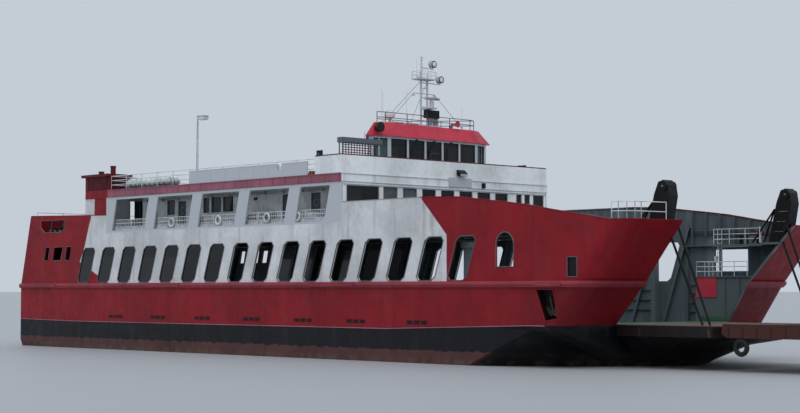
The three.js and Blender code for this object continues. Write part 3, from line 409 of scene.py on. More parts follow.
@dataclass(frozen=True)
class Bottom(Paint):
    """Black hull with red-brown antifouling at the water, scraped along the forefoot."""

    fouling: Colour = tint(86, 52, 50)

    def make(self) -> Material:
        """Builds the material.

        Returns:
            The material.
        """
        shader = Shader(self.name)
        station, _, z = shader.place()
        edge = shader.noise(1.5, 4.0, (1, 1, 0.4), 13.0)
        low = 1 - (z + edge * 0.5 - 0.25).above(0.8, 0.04)
        base = shader.mix(low, self.colour, self.fouling)
        # Painted shade: forward of the raked knuckle the antifouling is painted over in near black, for the shade
        # under the bow.
        forefoot_shade = ((station - 11.2) * 0.4375 - z).above(0.05, 0.1)
        base = shader.mix(forefoot_shade * 0.85, base, tint(8, 9, 14))
        colour, rough, relief = self.weather(shader, base)
        scum = (z + edge * 0.3).within(0.1, 0.5, 0.12) * edge.ramp(0.45, 0.6)
        colour = shader.mix(scum * 0.5, colour, tint(92, 84, 70))
        nose = station.above(20.5, 1.2) * edge.ramp(0.35, 0.6)
        colour = shader.mix(nose * 0.3, colour, tint(64, 44, 40))
        return self.end(shader, colour, rough, relief)


@dataclass(frozen=True)
class DeckPaint:
    """Worn deck paint with tyre marks and lashing wear."""

    name: str
    colour: Colour
    worn: Colour = tint(92, 84, 76)
    marks: float = 0.5
    nose: float = 99.0

    def make(self) -> Material:
        """Builds the material.

        Returns:
            The material.
        """
        shader = Shader(self.name)
        station, y, _ = shader.place()
        blotch = shader.noise(0.5, 5.0).ramp(0.3, 0.7, 0.75, 1.15)
        colour = shader.shade(self.colour, blotch)
        wear = shader.noise(1.1, 5.0, (0.35, 1.0, 1.0), 9.0).ramp(0.55, 0.7)
        colour = shader.mix(wear * self.marks, colour, self.worn)
        lanes = (((y + 1.3) % 2.6) - 1.3).size().within(0.55, 0.95, 0.12)
        tyres = shader.noise(0.8, 4.0, (0.2, 2.0, 1.0), 4.0).ramp(0.4, 0.65)
        colour = shader.mix(lanes * tyres * self.marks, colour, SOOT)
        bare = (station + blotch * 3.0).above(self.nose + 3.0, 1.5)
        colour = shader.mix(bare * 0.85, colour, tint(104, 74, 64))
        grit = shader.noise(14.0, 2.0)
        return shader.surface(colour, shader.noise(2.0, 3.0).ramp(0.2, 0.8, 0.55, 0.85), grit, 0.003)


@dataclass(frozen=True)
class Rusty:
    """Scraped and rusted steel, with remains of red paint."""

    name: str
    colour: Colour = tint(98, 46, 44)
    bare: Colour = tint(70, 52, 46)

    def make(self) -> Material:
        """Builds the material.

        Returns:
            The material.
        """
        shader = Shader(self.name)
        scale = shader.noise(1.4, 6.0).ramp(0.38, 0.62)
        colour = shader.mix(scale, self.colour, self.bare)
        dark = shader.noise(4.0, 5.0, shift=6.0).ramp(0.5, 0.75)
        colour = shader.mix(dark * 0.6, colour, tint(38, 26, 24))
        bright = shader.noise(0.9, 4.0, (0.3, 1.5, 1.0), 12.0).ramp(0.6, 0.72)
        colour = shader.mix(bright * 0.4, colour, tint(132, 112, 98))
        return shader.surface(colour, shader.noise(3.0, 3.0).ramp(0.2, 0.8, 0.5, 0.9), dark + scale, 0.004)


@dataclass(frozen=True)
class Smooth:
    """Even material of small fittings: plastic, rubber, bare metal or enamel, with dirt in its tone."""

    name: str
    colour: Colour
    roughness: float = 0.45
    metallic: float = 0.0
    dirt: float = 0.25
    grain: float = 0.0008

    def make(self) -> Material:
        """Builds the material.

        Returns:
            The material.
        """
        shader = Shader(self.name)
        tone = shader.noise(1.8, 4.0).ramp(0.3, 0.7, 1 - self.dirt, 1 + self.dirt * 0.4)
        speck = shader.noise(9.0, 3.0, (1, 1, 0.3), 8.0).ramp(0.6, 0.75)
        colour = shader.mix(speck * self.dirt, shader.shade(self.colour, tone), tuple(c * 0.3 for c in self.colour))
        rough = shader.noise(5.0, 2.0).ramp(0.2, 0.8, max(0.05, self.roughness - 0.07), self.roughness + 0.1)
        grain = shader.noise(40.0, 2.0)
        return shader.surface(colour, rough, grain, self.grain, self.metallic)


@dataclass(frozen=True)
class Pane:
    """Window glass that is dark from outside and reflects the sky."""

    name: str
    colour: Colour = tint(9, 11, 14)
    clear: float = 0.3

    def make(self) -> Material:
        """Builds the material: a glossy coat over a tone, partly see-through.

        Returns:
            The material.
        """
        shader = Shader(self.name)
        film = shader.noise(0.9, 3.0).ramp(0.3, 0.7, 0.75, 1.3)
        colour = shader.shade(self.colour, film)
        rough = shader.noise(2.0, 3.0, shift=3.0).ramp(0.3, 0.8, 0.04, 0.16)
        return shader.surface(colour, rough, Specular_IOR_Level=0.35, Alpha=1 - self.clear)


class Finish(Enum):
    """Every finish on the ship, by what it is."""

    TOPSIDE = Topside("topside_paint", RED)
    STACK = Stack("funnel_paint", RED)
    BOTTOM = Bottom("hull_paint", BLACK, roughness=0.42, streaks=0.5, rust=0.2)
    RED = Paint("red_paint", RED)
    STRAKE = Paint("strake_paint", tint(146, 52, 64), streaks=0.5, rust=0.5)
    VISOR = Paint("visor_paint", tint(198, 58, 78), roughness=0.45, streaks=0.15, rust=0.05, dents=0.001)
    FASCIA = Paint("fascia_paint", tint(158, 96, 112), streaks=0.35, rust=0.2, dents=0.002)
    DECK_EDGE = DeckEdge("top_deck_paint", tint(158, 96, 112), streaks=0.35, rust=0.2, dents=0.002)
    # Painted shade: the bow sill is painted near black for the shade it lies in at the bow; the rust spots on it are
    # wear.
    SILL = Paint("shaded_sill_paint", tint(26, 20, 22), streaks=0.5, rust=0.7)
    MAROON = Paint("maroon_paint", tint(84, 26, 34), streaks=0.3, rust=0.2, dents=0.001)
    BEAD = Paint("bead_paint", tint(168, 112, 124), streaks=0.4, rust=0.3, dents=0.001)
    # Painted light: the white of the forward-looking fronts is the lighter, lit copy of the white paint.
    FRONT = Paint("lit_front_paint", LIT_WHITE, streaks=0.12, rust=0.15, dents=0.003)
    WHITE = Paint("white_paint", WHITE, streaks=0.3, rust=0.22, dents=0.003)
    RIM = Paint("rim_paint", tint(104, 96, 104), streaks=0.3, rust=0.4, dents=0.001)
    CREAM = Paint("cream_paint", tint(172, 172, 160), streaks=0.4, rust=0.25, dents=0.002)
    GREY = Paint("grey_paint", tint(118, 128, 136), streaks=0.4, rust=0.3, dents=0.004)
    DARK = Paint("black_paint", SOOT, streaks=0.3, rust=0.15, dents=0.001)
    ROOF = DeckPaint("roof_paint", tint(96, 112, 104), marks=0.15)
    CAR_DECK = DeckPaint("car_deck_paint", tint(42, 92, 70), nose=18.5)
    RAMP_DECK = DeckPaint("ramp_deck_paint", tint(70, 62, 58), tint(112, 84, 70), 0.7)
    RUST = Rusty("rusted_steel")
    CHAIN = Rusty("chain_steel", tint(58, 50, 46), tint(44, 36, 32))
    STEEL = Smooth("galvanised_steel", tint(138, 142, 144), 0.42, 0.7)
    RAIL = Smooth("rail_enamel", tint(214, 218, 222), 0.4)
    BRONZE = Smooth("cast_bronze", tint(176, 140, 78), 0.35, 0.9)
    RUBBER = Smooth("tyre_rubber", tint(26, 26, 27), 0.75, grain=0.002)
    WIRE = Smooth("wire_rope", tint(34, 32, 32), 0.6, 0.3)
    RAFT = Smooth("raft_shell", tint(208, 212, 214), 0.35)
    LAMP = Smooth("lamp_glass", tint(228, 230, 224), 0.12)
    GLASS = Pane("window_glass")
    GREEN_GLASS = Pane("tinted_glass", tint(60, 92, 88), 0.3)
    SHADE = Pane("shaded_pane", tint(8, 11, 16), 0.1)
    # Painted reflection: a lighter glass that stands in for the sky reflected in two of the saloon's front windows.
    PAINTED_REFLECTION = Pane("painted_reflection_pane", tint(88, 94, 102), 0.15)
    DOOR = Smooth("door_enamel", tint(62, 68, 74), 0.45)
    SEAT = Smooth("seat_plastic", tint(40, 78, 120), 0.5)
    TEAK = Smooth("varnished_wood", tint(126, 84, 52), 0.5)
    RED_LAMP = Smooth("red_lamp_glass", tint(170, 24, 28), 0.15)
    GREEN_LAMP = Smooth("green_lamp_glass", tint(24, 130, 70), 0.15)

    @property
    def material(self) -> Material:
        """The finish's material, built when it is first asked for."""
        return bpy.data.materials.get(self.value.name) or self.value.make()


# Pieces


def hoop(middle: Vector, across: Vector, other: Vector, radius: float, sides: int) -> list[Place]:
    """Gives a ring of places round a middle, in the plane of two directions."""
    turns = (2 * math.pi * i / sides for i in range(sides))
    return [tuple(middle + (across * math.cos(t) + other * math.sin(t)) * radius) for t in turns]


class Piece:
    """One mesh that is built up from plates, bars and turned shapes in the real ship's metres."""

    def __init__(self, name: str, slot: str = "white_paint", body: str = "ship", side: int = 1) -> None:
        """Starts an empty piece.

        Args:
            name: The piece's name.
            slot: The record's material slot; kept on the piece but not used.
            body: The body that it rides on.
            side: -1 turns every place that it is given over to starboard.
        """
        self.name, self.slot, self.body, self.side = name, slot, body, side
        self.points: list[Vector] = []
        self.faces: list[tuple[int, ...]] = []
        self.marks: list[int] = []
        self.finishes: list[Finish] = []

    def turn_over(self, place: Sequence[float]) -> Place:
        """Gives a place on the side that the piece is on."""
        return (place[0], self.side * place[1], place[2])

    def add(self, points: Iterable[Sequence[float]], faces: Iterable[Sequence[int]], finish: Finish) -> None:
        """Adds a closed shape.

        Args:
            points: Its corners as places on the ship.
            faces: Its faces as numbers of corners.
            finish: What it is finished in.
        """
        if finish not in self.finishes:
            self.finishes.append(finish)
        start, mark = len(self.points), self.finishes.index(finish)
        self.points.extend(at(*p) for p in points)
        for face in faces:
            self.faces.append(tuple(start + i for i in face))
            self.marks.append(mark)

    def skin(self, rings: Sequence[Sequence[Place]], finish: Finish, closed: bool = False) -> None:
        """Adds a body through rings of corners, with its ends closed unless it runs round.

        Args:
            rings: Rings with the same number of corners.
            finish: What it is finished in.
            closed: Whether the last ring joins the first.
        """
        n, count = len(rings[0]), len(rings)
        faces = []
        for r in range(count if closed else count - 1):
            a, b = r * n, (r + 1) % count * n
            faces.extend((a + i, a + (i + 1) % n, b + (i + 1) % n, b + i) for i in range(n))
        if not closed:
            faces.append(tuple(range(n))[::-1])
            faces.append(tuple((count - 1) * n + i for i in range(n)))
        self.add([p for ring in rings for p in ring], faces, finish)

    def rings(self, rings: Sequence[Sequence[Place]], finish: Finish) -> None:
        """Adds a body through rings of corners, on the piece's side."""
        self.skin([[self.turn_over(p) for p in ring] for ring in rings], finish)

    def box(self, x: Sequence[float], y: Sequence[float], z: Sequence[float], finish: Finish) -> None:
        """Adds a block between two stations, two y and two z."""
        self.rings([[(px, py, pz) for py, pz in oblong(*y, *z)] for px in x], finish)

    def prism(self, outline: Sequence[Corner], axis: int, low: float, high: float, finish: Finish) -> None:
        """Adds a plate between two values on an axis (0, 1 or 2), with its outline in the two other directions."""
        self.rings([[(*corner[:axis], w, *corner[axis:]) for corner in outline] for w in (low, high)], finish)

    def disc(self, centre: Place, along: Place, radius: float, thick: float, finish: Finish, sides: int) -> None:
        """Adds a round plate that begins at a place and stands square to a direction."""
        self.turned(centre, along, [(0, radius), (thick, radius)], finish, sides)

    def turned(self, centre: Place, along: Place, profile: Sequence[Corner], finish: Finish, sides: int = 16) -> None:
        """Adds a shape turned about an axis.

        Args:
            centre: Where the axis begins.
            along: Its direction.
            profile: Distances along the axis with the radius there.
            finish: What it is finished in.
            sides: Faces round it.
        """
        centre, axis = Vector(self.turn_over(centre)), Vector(self.turn_over(along)).normalized()
        across = axis.orthogonal().normalized()
        self.skin([hoop(centre + axis * height, across, axis.cross(across), radius, sides)
                   for height, radius in profile], finish)

    def rod(self, start: Place, end: Place, radius: float, finish: Finish, sides: int = 8) -> None:
        """Adds a round rod between two places."""
        run = Vector(end) - Vector(start)
        self.turned(start, tuple(run), [(0, radius), (run.length, radius)], finish, sides)

    def pipe(self, path: Sequence[Place], radius: float, finish: Finish, sides: int = 8,
             closed: bool = False) -> None:
        """Adds a pipe that follows a path.

        Args:
            path: Places along its middle.
            radius: Its radius.
            finish: What it is finished in.
            sides: Faces round it.
            closed: Whether it runs round.
        """
        points = [Vector(self.turn_over(p)) for p in path]
        count = len(points)
        rings, across = [], None
        for i, point in enumerate(points):
            before = points[i - 1] if i or closed else point
            after = points[(i + 1) % count] if i + 1 < count or closed else point
            axis = (after - before).normalized()
            across = axis.orthogonal() if across is None else across - axis * across.dot(axis)
            across.normalize()
            rings.append(hoop(point, across, axis.cross(across), radius, sides))
        self.skin(rings, finish, closed)

    def place(self, bevel: float = 0.0, replaces: Sequence[str] = ()) -> None:
        """Makes the object.

        Args:
            bevel: Width of the bevel on its edges in the ship's metres.
            replaces: CAD nodes that it stands for.
        """
        mesh = bpy.data.meshes.new(self.name)
        mesh.from_pydata(self.points, [], self.faces)
        for finish in self.finishes:
            mesh.materials.append(finish.material)
        mesh.polygons.foreach_set("material_index", self.marks)
        shape = bmesh.new()
        shape.from_mesh(mesh)
        bmesh.ops.recalc_face_normals(shape, faces=shape.faces)
        if bevel:
            edges = [e for e in shape.edges if e.is_manifold and e.calc_face_angle(0) > BEVEL_ANGLE]
            bmesh.ops.bevel(shape, geom=edges, offset=bevel * SCALE, segments=2, affect="EDGES", clamp_overlap=True)
        shape.to_mesh(mesh)
        shape.free()
        settle(self.name, mesh, self.body, replaces)


def link(thing: Thing) -> Thing:
    """Puts an object into the scene."""
    bpy.context.scene.collection.objects.link(thing)
    return thing


def settle(name: str, mesh: bpy.types.Mesh, body: str, replaces: Sequence[str] = ()) -> None:
    """Makes an object of a mesh, says what it rides on and stands for, and logs it.

    Args:
        name: The piece's name.
        mesh: Its finished mesh.
        body: The body that it rides on.
        replaces: CAD nodes that it stands for.
    """
    mesh.name = name
    mesh.shade_smooth()
    mesh.set_sharp_from_angle(angle=SMOOTH_ANGLE)
    thing = link(bpy.data.objects.new(name, mesh))
    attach(thing, body)
    if replaces:
        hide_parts(*replaces)
    LOG.info("%s: %d faces on %s", thing.name, len(thing.data.polygons), body)


class Tree(Graph):
    """A Geometry Nodes tree with named inputs, which ends in Realize Instances and Set Material."""

    def __init__(self, name: str, inputs: Sequence[tuple[str, str, Any]]) -> None:
        """Makes the tree and its inputs.

        Args:
            name: The tree's name.
            inputs: Name, socket type and value of each input after the geometry.
        """
        self.tree = bpy.data.node_groups.new(name, "GeometryNodeTree")
        face = self.tree.interface
        face.new_socket("Geometry", in_out="INPUT", socket_type="NodeSocketGeometry")
        self.names: dict[str, str] = {}
        for label, kind, value in inputs:
            socket = face.new_socket(label, in_out="INPUT", socket_type=kind)
            if value is not None:
                socket.default_value = value
            self.names[label] = socket.identifier
        face.new_socket("Geometry", in_out="OUTPUT", socket_type="NodeSocketGeometry")
        self.start = self.tree.nodes.new("NodeGroupInput")
        self.end = self.tree.nodes.new("NodeGroupOutput")

    def finish(self, geometry: Socket) -> None:
        """Ends the tree."""
        whole = self.node("GeometryNodeRealizeInstances", {}, {"Geometry": geometry})
        dressed = self.node("GeometryNodeSetMaterial", {},
                            {"Geometry": whole.outputs[0], "Material": self.start.outputs["Material"]})
        self.tree.links.new(dressed.outputs[0], self.end.inputs[0])

    def grow(self, paths: Iterable[Iterable[Place]], values: dict[str, Any],
             marks: dict[str, Iterable[Vector]]) -> bpy.types.Mesh:
        """Runs the tree on a skeleton, and keeps the result as a plain mesh.

        Args:
            paths: The skeleton's points as places on the ship, joined along each path.
            values: The tree's inputs by name.
            marks: Vectors kept on the points, by name.

        Returns:
            The mesh.
        """
        points, edges = [], []
        for path in paths:
            start = len(points)
            points.extend(tuple(at(*p)) for p in path)
            edges.extend((i, i + 1) for i in range(start, len(points) - 1))
        skeleton = bpy.data.meshes.new("skeleton")
        skeleton.from_pydata(points, edges, [])
        for label, vectors in marks.items():
            layer = skeleton.attributes.new(label, "FLOAT_VECTOR", "POINT")
            layer.data.foreach_set("vector", [c for v in vectors for c in v])
        host = link(bpy.data.objects.new("host", skeleton))
        modifier = host.modifiers.new("grow", "NODES")
        modifier.node_group = self.tree
        for label, value in values.items():
            modifier[self.names[label]] = value
        graph = bpy.context.evaluated_depsgraph_get()
        mesh = bpy.data.meshes.new_from_object(host.evaluated_get(graph), depsgraph=graph)
        bpy.data.objects.remove(host)
        bpy.data.meshes.remove(skeleton)
        return mesh


class Piping(Tree):
    """Round bar that follows the edges of a skeleton: railings, wires and frames."""

    def __init__(self) -> None:
        """Builds the tree."""
        super().__init__("piping", [("Radius", "NodeSocketFloat", 0.01), ("Sides", "NodeSocketInt", 8),
                                    ("Material", "NodeSocketMaterial", None)])
        path = self.node("GeometryNodeMeshToCurve", {}, {"Mesh": self.start.outputs["Geometry"]})
        ring = self.node("GeometryNodeCurvePrimitiveCircle", {"mode": "RADIUS"},
                         {"Resolution": self.start.outputs["Sides"], "Radius": self.start.outputs["Radius"]})
        tube = self.node("GeometryNodeCurveToMesh", {},
                         {"Curve": path.outputs[0], "Profile Curve": ring.outputs[0], "Fill Caps": True})
        self.finish(tube.outputs[0])

    def lay(self, paths: Iterable[Iterable[Place]], radius: float, finish: Finish, sides: int) -> bpy.types.Mesh:
        """Lays round bar along paths of places on the ship."""
        return self.grow(paths, {"Radius": radius * SCALE, "Sides": sides, "Material": finish.material}, {})


class Stamping(Tree):
    """The same small shape at many places, each turned and sized by marks on the point."""

    def __init__(self) -> None:
        """Builds the tree."""
        super().__init__("stamping", [("Shape", "NodeSocketObject", None), ("Material", "NodeSocketMaterial", None)])
        shape = self.node("GeometryNodeObjectInfo", {"transform_space": "ORIGINAL"},
                          {"Object": self.start.outputs["Shape"]})
        turn = self.node("GeometryNodeInputNamedAttribute", {"data_type": "FLOAT_VECTOR"}, {"Name": "turn"})
        size = self.node("GeometryNodeInputNamedAttribute", {"data_type": "FLOAT_VECTOR"}, {"Name": "size"})
        rotation = self.node("FunctionNodeEulerToRotation", {}, {0: turn.outputs["Attribute"]})
        stamps = self.node("GeometryNodeInstanceOnPoints", {},
                           {"Points": self.start.outputs["Geometry"], "Instance": shape.outputs["Geometry"],
                            "Rotation": rotation.outputs[0], "Scale": size.outputs["Attribute"]})
        self.finish(stamps.outputs[0])

    def strike(self, shape: Thing, places: Sequence[tuple[Place, Place, Place]], finish: Finish) -> bpy.types.Mesh:
        """Puts a shape of the real ship's metres at places, each with its size and its turn in degrees."""
        marks = {"turn": [Vector([math.radians(a) for a in turn]) for _, _, turn in places],
                 "size": [Vector(size) * SCALE for _, size, _ in places]}
        return self.grow([[place] for place, _, _ in places], {"Shape": shape, "Material": finish.material}, marks)


def die(name: str, build: Callable[[bmesh.types.BMesh], None]) -> Thing:
    """Makes a shape for stamping, which isn't shown itself.

    Args:
        name: Its name.
        build: Fills an empty mesh about the origin, in the real ship's metres.

    Returns:
        The object, linked to no scene.
    """
    mesh = bpy.data.meshes.new(name)
    shape = bmesh.new()
    build(shape)
    bmesh.ops.recalc_face_normals(shape, faces=shape.faces)
    shape.to_mesh(mesh)
    shape.free()
    return bpy.data.objects.new(name, mesh)


def cube_die(shape: bmesh.types.BMesh) -> None:
    """Fills a mesh with a block one metre wide, with its edges taken off."""
    bmesh.ops.create_cube(shape, size=1.0)
    bmesh.ops.bevel(shape, geom=shape.edges[:], offset=0.04, segments=1, affect="EDGES")


def drum_die(shape: bmesh.types.BMesh) -> None:
    """Fills a mesh with an upright drum, one metre high and wide."""
    bmesh.ops.create_cone(shape, cap_ends=True, segments=12, radius1=0.5, radius2=0.5, depth=1.0)


def hoop_die(shape: bmesh.types.BMesh) -> None:
    """Fills a mesh with an upright ring about the y axis, for a lifebuoy.

    Args:
        shape: The empty mesh.
    """
    around, section, reach, radius, width = 20, 8, 0.29, 0.075, 0.06
    rows = []
    for i in range(around):
        a = 2 * math.pi * i / around
        turns = [2 * math.pi * k / section for k in range(section)]
        rows.append([shape.verts.new(((reach + radius * math.cos(b)) * math.cos(a), width * math.sin(b),
                                      (reach + radius * math.cos(b)) * math.sin(a))) for b in turns])
    for i in range(around):
        for k in range(section):
            j, m = (i + 1) % around, (k + 1) % section
            shape.faces.new((rows[i][k], rows[j][k], rows[j][m], rows[i][m]))


@dataclass
class Yard:
    """What the sub-assemblies share: the two trees and the shapes for stamping."""

    piping: Piping = field(default_factory=Piping)
    stamping: Stamping = field(default_factory=Stamping)
    cube: Thing = field(default_factory=lambda: die("cube_die", cube_die))
    drum: Thing = field(default_factory=lambda: die("drum_die", drum_die))
    hoop: Thing = field(default_factory=lambda: die("hoop_die", hoop_die))


# Sub-assemblies


@dataclass
class Studio:
    """Camera, floor at the waterline and soft light."""

    eye: Place = (87.8, -81.1, 4.42)
    heading: tuple[float, float] = (-0.728, 0.686)
    pitch: float = 2.81
    focal_px: float = 1700.0
    frame_px: float = 800.0
    sensor: float = 36.0
    floor: float = 3000.0

    def set_camera(self) -> None:
        """Stands the camera where the photograph was taken from."""
        data = bpy.data.cameras.new("camera")
        data.sensor_fit = "HORIZONTAL"
        data.sensor_width = self.sensor
        data.lens = self.sensor * self.focal_px / self.frame_px
        data.clip_start, data.clip_end = 1.0, 6000.0
        camera = link(bpy.data.objects.new("camera", data))
        camera.location = Vector(self.eye) * SCALE
        look = Vector((*self.heading, 0)).normalized()
        look = Vector((look.x, look.y, math.tan(math.radians(self.pitch))))
        camera.rotation_euler = look.to_track_quat("-Z", "Y").to_euler()
        bpy.context.scene.camera = camera

    def lay_floor(self) -> None:
        """Lays the plain pale floor that stands for calm water."""
        half = self.floor / 2
        mesh = bpy.data.meshes.new("floor")
        mesh.from_pydata([(-half, -half, 0), (half, -half, 0), (half, half, 0), (-half, half, 0)], [], [(0, 1, 2, 3)])
        mesh.materials.append(Shader("floor_grey").surface(tint(172, 176, 181), 0.55))
        floor = link(bpy.data.objects.new("floor", mesh))

    def light(self) -> None:
        """Lights the ship from an overcast sky with a soft sun behind it."""
        world = bpy.data.worlds.new("sky")
        bpy.context.scene.world = world
        world.use_nodes = True
        back = world.node_tree.nodes["Background"]
        back.inputs["Color"].default_value = (*tint(196, 204, 213), 1.0)
        back.inputs["Strength"].default_value = 1.0
        sun = bpy.data.lights.new("sun", "SUN")
        sun.energy = 1.1
        sun.angle = math.radians(50)
        sun.color = (1.0, 0.98, 0.95)
        lamp = link(bpy.data.objects.new("sun", sun))
        lamp.rotation_euler = Vector((-0.42, 0.46, -1.0)).to_track_quat("-Z", "Y").to_euler()
        bpy.context.scene.view_settings.view_transform = "Standard"


@dataclass
class Solids:
    """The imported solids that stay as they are, each with its finish."""

    nodes: dict[str, Thing]
    # the solids of each finish, without the side in their names
    finishes: dict[Finish, str] = field(default_factory=lambda: {
        Finish.BOTTOM: "hull rudder", Finish.TOPSIDE: "stern_frame side_shell bow_wing",
        Finish.FRONT: "saloon_front bridge_bulwark", Finish.WHITE: "wheelhouse mast gallery_frame screen",
        Finish.RAIL: "top_deck_rail roof_rail gallery_rail bow_rail lamp_pole radar_scanner",
        Finish.GREY: "stair bridge_awning bow_casing bow_platform vent_trunk",
        Finish.DARK: "stern_sill stern_flap hoist_tower", Finish.RAFT: "saloon_side raft_rack",
        Finish.CAR_DECK: "car_deck", Finish.ROOF: "saloon_deck", Finish.DECK_EDGE: "top_deck",
        Finish.SILL: "bow_sill", Finish.CREAM: "saloon_aft_wall", Finish.VISOR: "wheelhouse_roof",
        Finish.STACK: "funnel", Finish.STRAKE: "strake", Finish.DOOR: "wheelhouse_door", Finish.RUST: "bow_ramp",
        Finish.RUBBER: "ramp_fender", Finish.CHAIN: "anchor", Finish.BRONZE: "propeller",
    })

    def dress(self) -> None:
        """Gives every solid its finish."""
        finishes = {name: finish for finish, names in self.finishes.items() for name in names.split()}
        for name, node in self.nodes.items():
            finish = finishes[name.removesuffix("_port").removesuffix("_starboard")]
            node.data.materials.clear()
            node.data.materials.append(finish.material)
            LOG.info("%s: finished in %s", name, finish.value.name)


def fence(path: Sequence[Place], height: float, bay: float, levels: Sequence[float]) -> list[list[Place]]:
    """Gives the bars and posts of a railing.

    Args:
        path: Places along its foot.
        height: How high the posts stand.
        bay: About how far apart they stand.
        levels: Heights of the bars.

    Returns:
        A path for each bar and post.
    """
    paths = [[(x, y, z + level) for x, y, z in path] for level in levels]
    for start, end in zip(path, path[1:]):
        count = max(1, round(math.dist(start, end) / bay))
        for i in range(count + 1):
            foot = tuple(a + (b - a) * i / count for a, b in zip(start, end))
            paths.append([foot, (foot[0], foot[1], foot[2] + height)])
    return paths


def frame_round(corners: Sequence[Place]) -> list[Place]:
    """Closes a path of corners, starting halfway along its first side."""
    middle = tuple((a + b) / 2 for a, b in zip(corners[0], corners[1]))
    return [middle, *corners[1:], corners[0], middle]


def oblong(low: float, high: float, foot: float, head: float) -> list[Corner]:
    """Gives the corners of an upright rectangle."""
    return [(low, foot), (high, foot), (high, head), (low, head)]


def rim(corners: Sequence[Corner], y: float = HALF_BEAM) -> list[Place]:
    """Closes a path of corners in a lengthwise plane, the ship's side unless another is given."""
    return frame_round([(x, y, z) for x, z in corners])


def cross_rim(corners: Sequence[Corner], x: float) -> list[Place]:
    """Closes a path of corners in a plane across the ship."""
    return frame_round([(x, y, z) for y, z in corners])


def row(first: float, step: float, count: int) -> list[float]:
    """Gives evenly stepped numbers."""
    return [first + i * step for i in range(count)]


@dataclass(frozen=True)
class Wing:
    """The bow wing's outer surface: flat along the ship's side, round at the shoulder and raked in front."""

    start: float = 12.4
    half: float = HALF_BEAM
    plate: float = 0.12
    # columns: z, station of the shoulder's corner, its radius, end station, end distance in from the side
    levels: tuple = ((2.4, 18.7, 1.0, 18.8, 4.33), (4.75, 20.4, 1.2, 20.55, 4.74), (8.05, 23.1, 1.2, 23.5, 4.31))
    shoulder: tuple = (0.3125, 0.75)
    # columns: station, z of the top edge
    top: tuple = ((12.4, 9.67), (15.5, 9.31), (18.0, 8.85), (20.5, 8.47), (21.8, 8.24), (24.0, 8.24))

    def outline(self, z: float, part: float) -> Vector:
        """Gives a point of the outline at a level.

        Args:
            z: The level.
            part: Share of the way from the wing's start (0) to its edge (1).

        Returns:
            Station and distance from the centreline.
        """
        low, high = self.levels[1:] if z > self.levels[1][0] else self.levels[:2]
        share = (z - low[0]) / (high[0] - low[0])
        corner, radius, end, inward = (a + (b - a) * share for a, b in zip(low[1:], high[1:]))
        begin, finish = self.shoulder
        if part <= begin:
            return Vector((self.start + (corner - radius - self.start) * part / begin, self.half))
        if part <= finish:
            turn = math.pi / 2 * (part - begin) / (finish - begin)
            return Vector((corner - radius * (1 - math.sin(turn)), self.half - radius * (1 - math.cos(turn))))
        along = (part - finish) / (1 - finish)
        return Vector((corner + (end - corner) * along, self.half - radius - (inward - radius) * along))

    def spot(self, part: float, z: float, out: float = 0.0, along: float = 0.0) -> Place:
        """Gives a place on the port wing, some way out from its surface and forwards along it."""
        run = (self.outline(z, min(1.0, part + 0.01)) - self.outline(z, max(0.0, part - 0.01))).normalized()
        return (*(self.outline(z, part) + run * along + Vector((-run.y, run.x)) * out), z)

    def top_z(self, station: float) -> float:
        """Gives the level of the top edge at a station."""
        (x0, z0), (x1, z1) = next((span for span in zip(self.top, self.top[1:]) if station <= span[1][0]),
                                  self.top[-2:])
        return z0 + (z1 - z0) * (station - x0) / (x1 - x0)

    def edge(self, part: float) -> float:
        """Gives the level of the top edge at a share of the outline."""
        return self.top_z(self.outline(8.05, part).x)


WING = Wing()


@dataclass
class Assembly:
    """A sub-assembly of the ship. Where it is one side's half, its places are those of the port side."""

    yard: Yard
    half: str = ""

    @property
    def side(self) -> int:
        """-1 for the starboard half, and 1 for any other."""
        return SIDES.get(self.half, 1)

    def named(self, name: str) -> str:
        """Adds the half's name to another."""
        return f"{name}_{self.half}" if self.half else name

    def piece(self, name: str, slot: str = "white_paint", body: str = "") -> Piece:
        """Starts a piece on this half, which rides on the ship or on the half's own body."""
        return Piece(self.named(name), slot, self.named(body) if body else "ship", self.side)

    def lay(self, name: str, paths: Iterable[Iterable[Place]], radius: float, finish: Finish,
            slot: str = "white_paint", sides: int = 8, replaces: Sequence[str] = ()) -> None:
        """Makes a piece of round bar along paths, with the CAD nodes that it stands for."""
        bars = self.yard.piping.lay([[(x, self.side * y, z) for x, y, z in path] for path in paths], radius, finish,
                                    sides)
        settle(self.named(name), bars, "ship", [self.named(node) for node in replaces])

    def strike(self, name: str, places: Iterable[tuple], finish: Finish, slot: str = "white_paint",
               body: str = "ship", shape: Thing | None = None) -> None:
        """Makes a piece of blocks, or another small shape, from the place, size and perhaps the turn of each."""
        own = [((x, self.side * y, z), size, *(turn or [(0, 0, 0)])) for (x, y, z), size, *turn in places]
        settle(self.named(name), self.yard.stamping.strike(shape or self.yard.cube, own, finish), body)


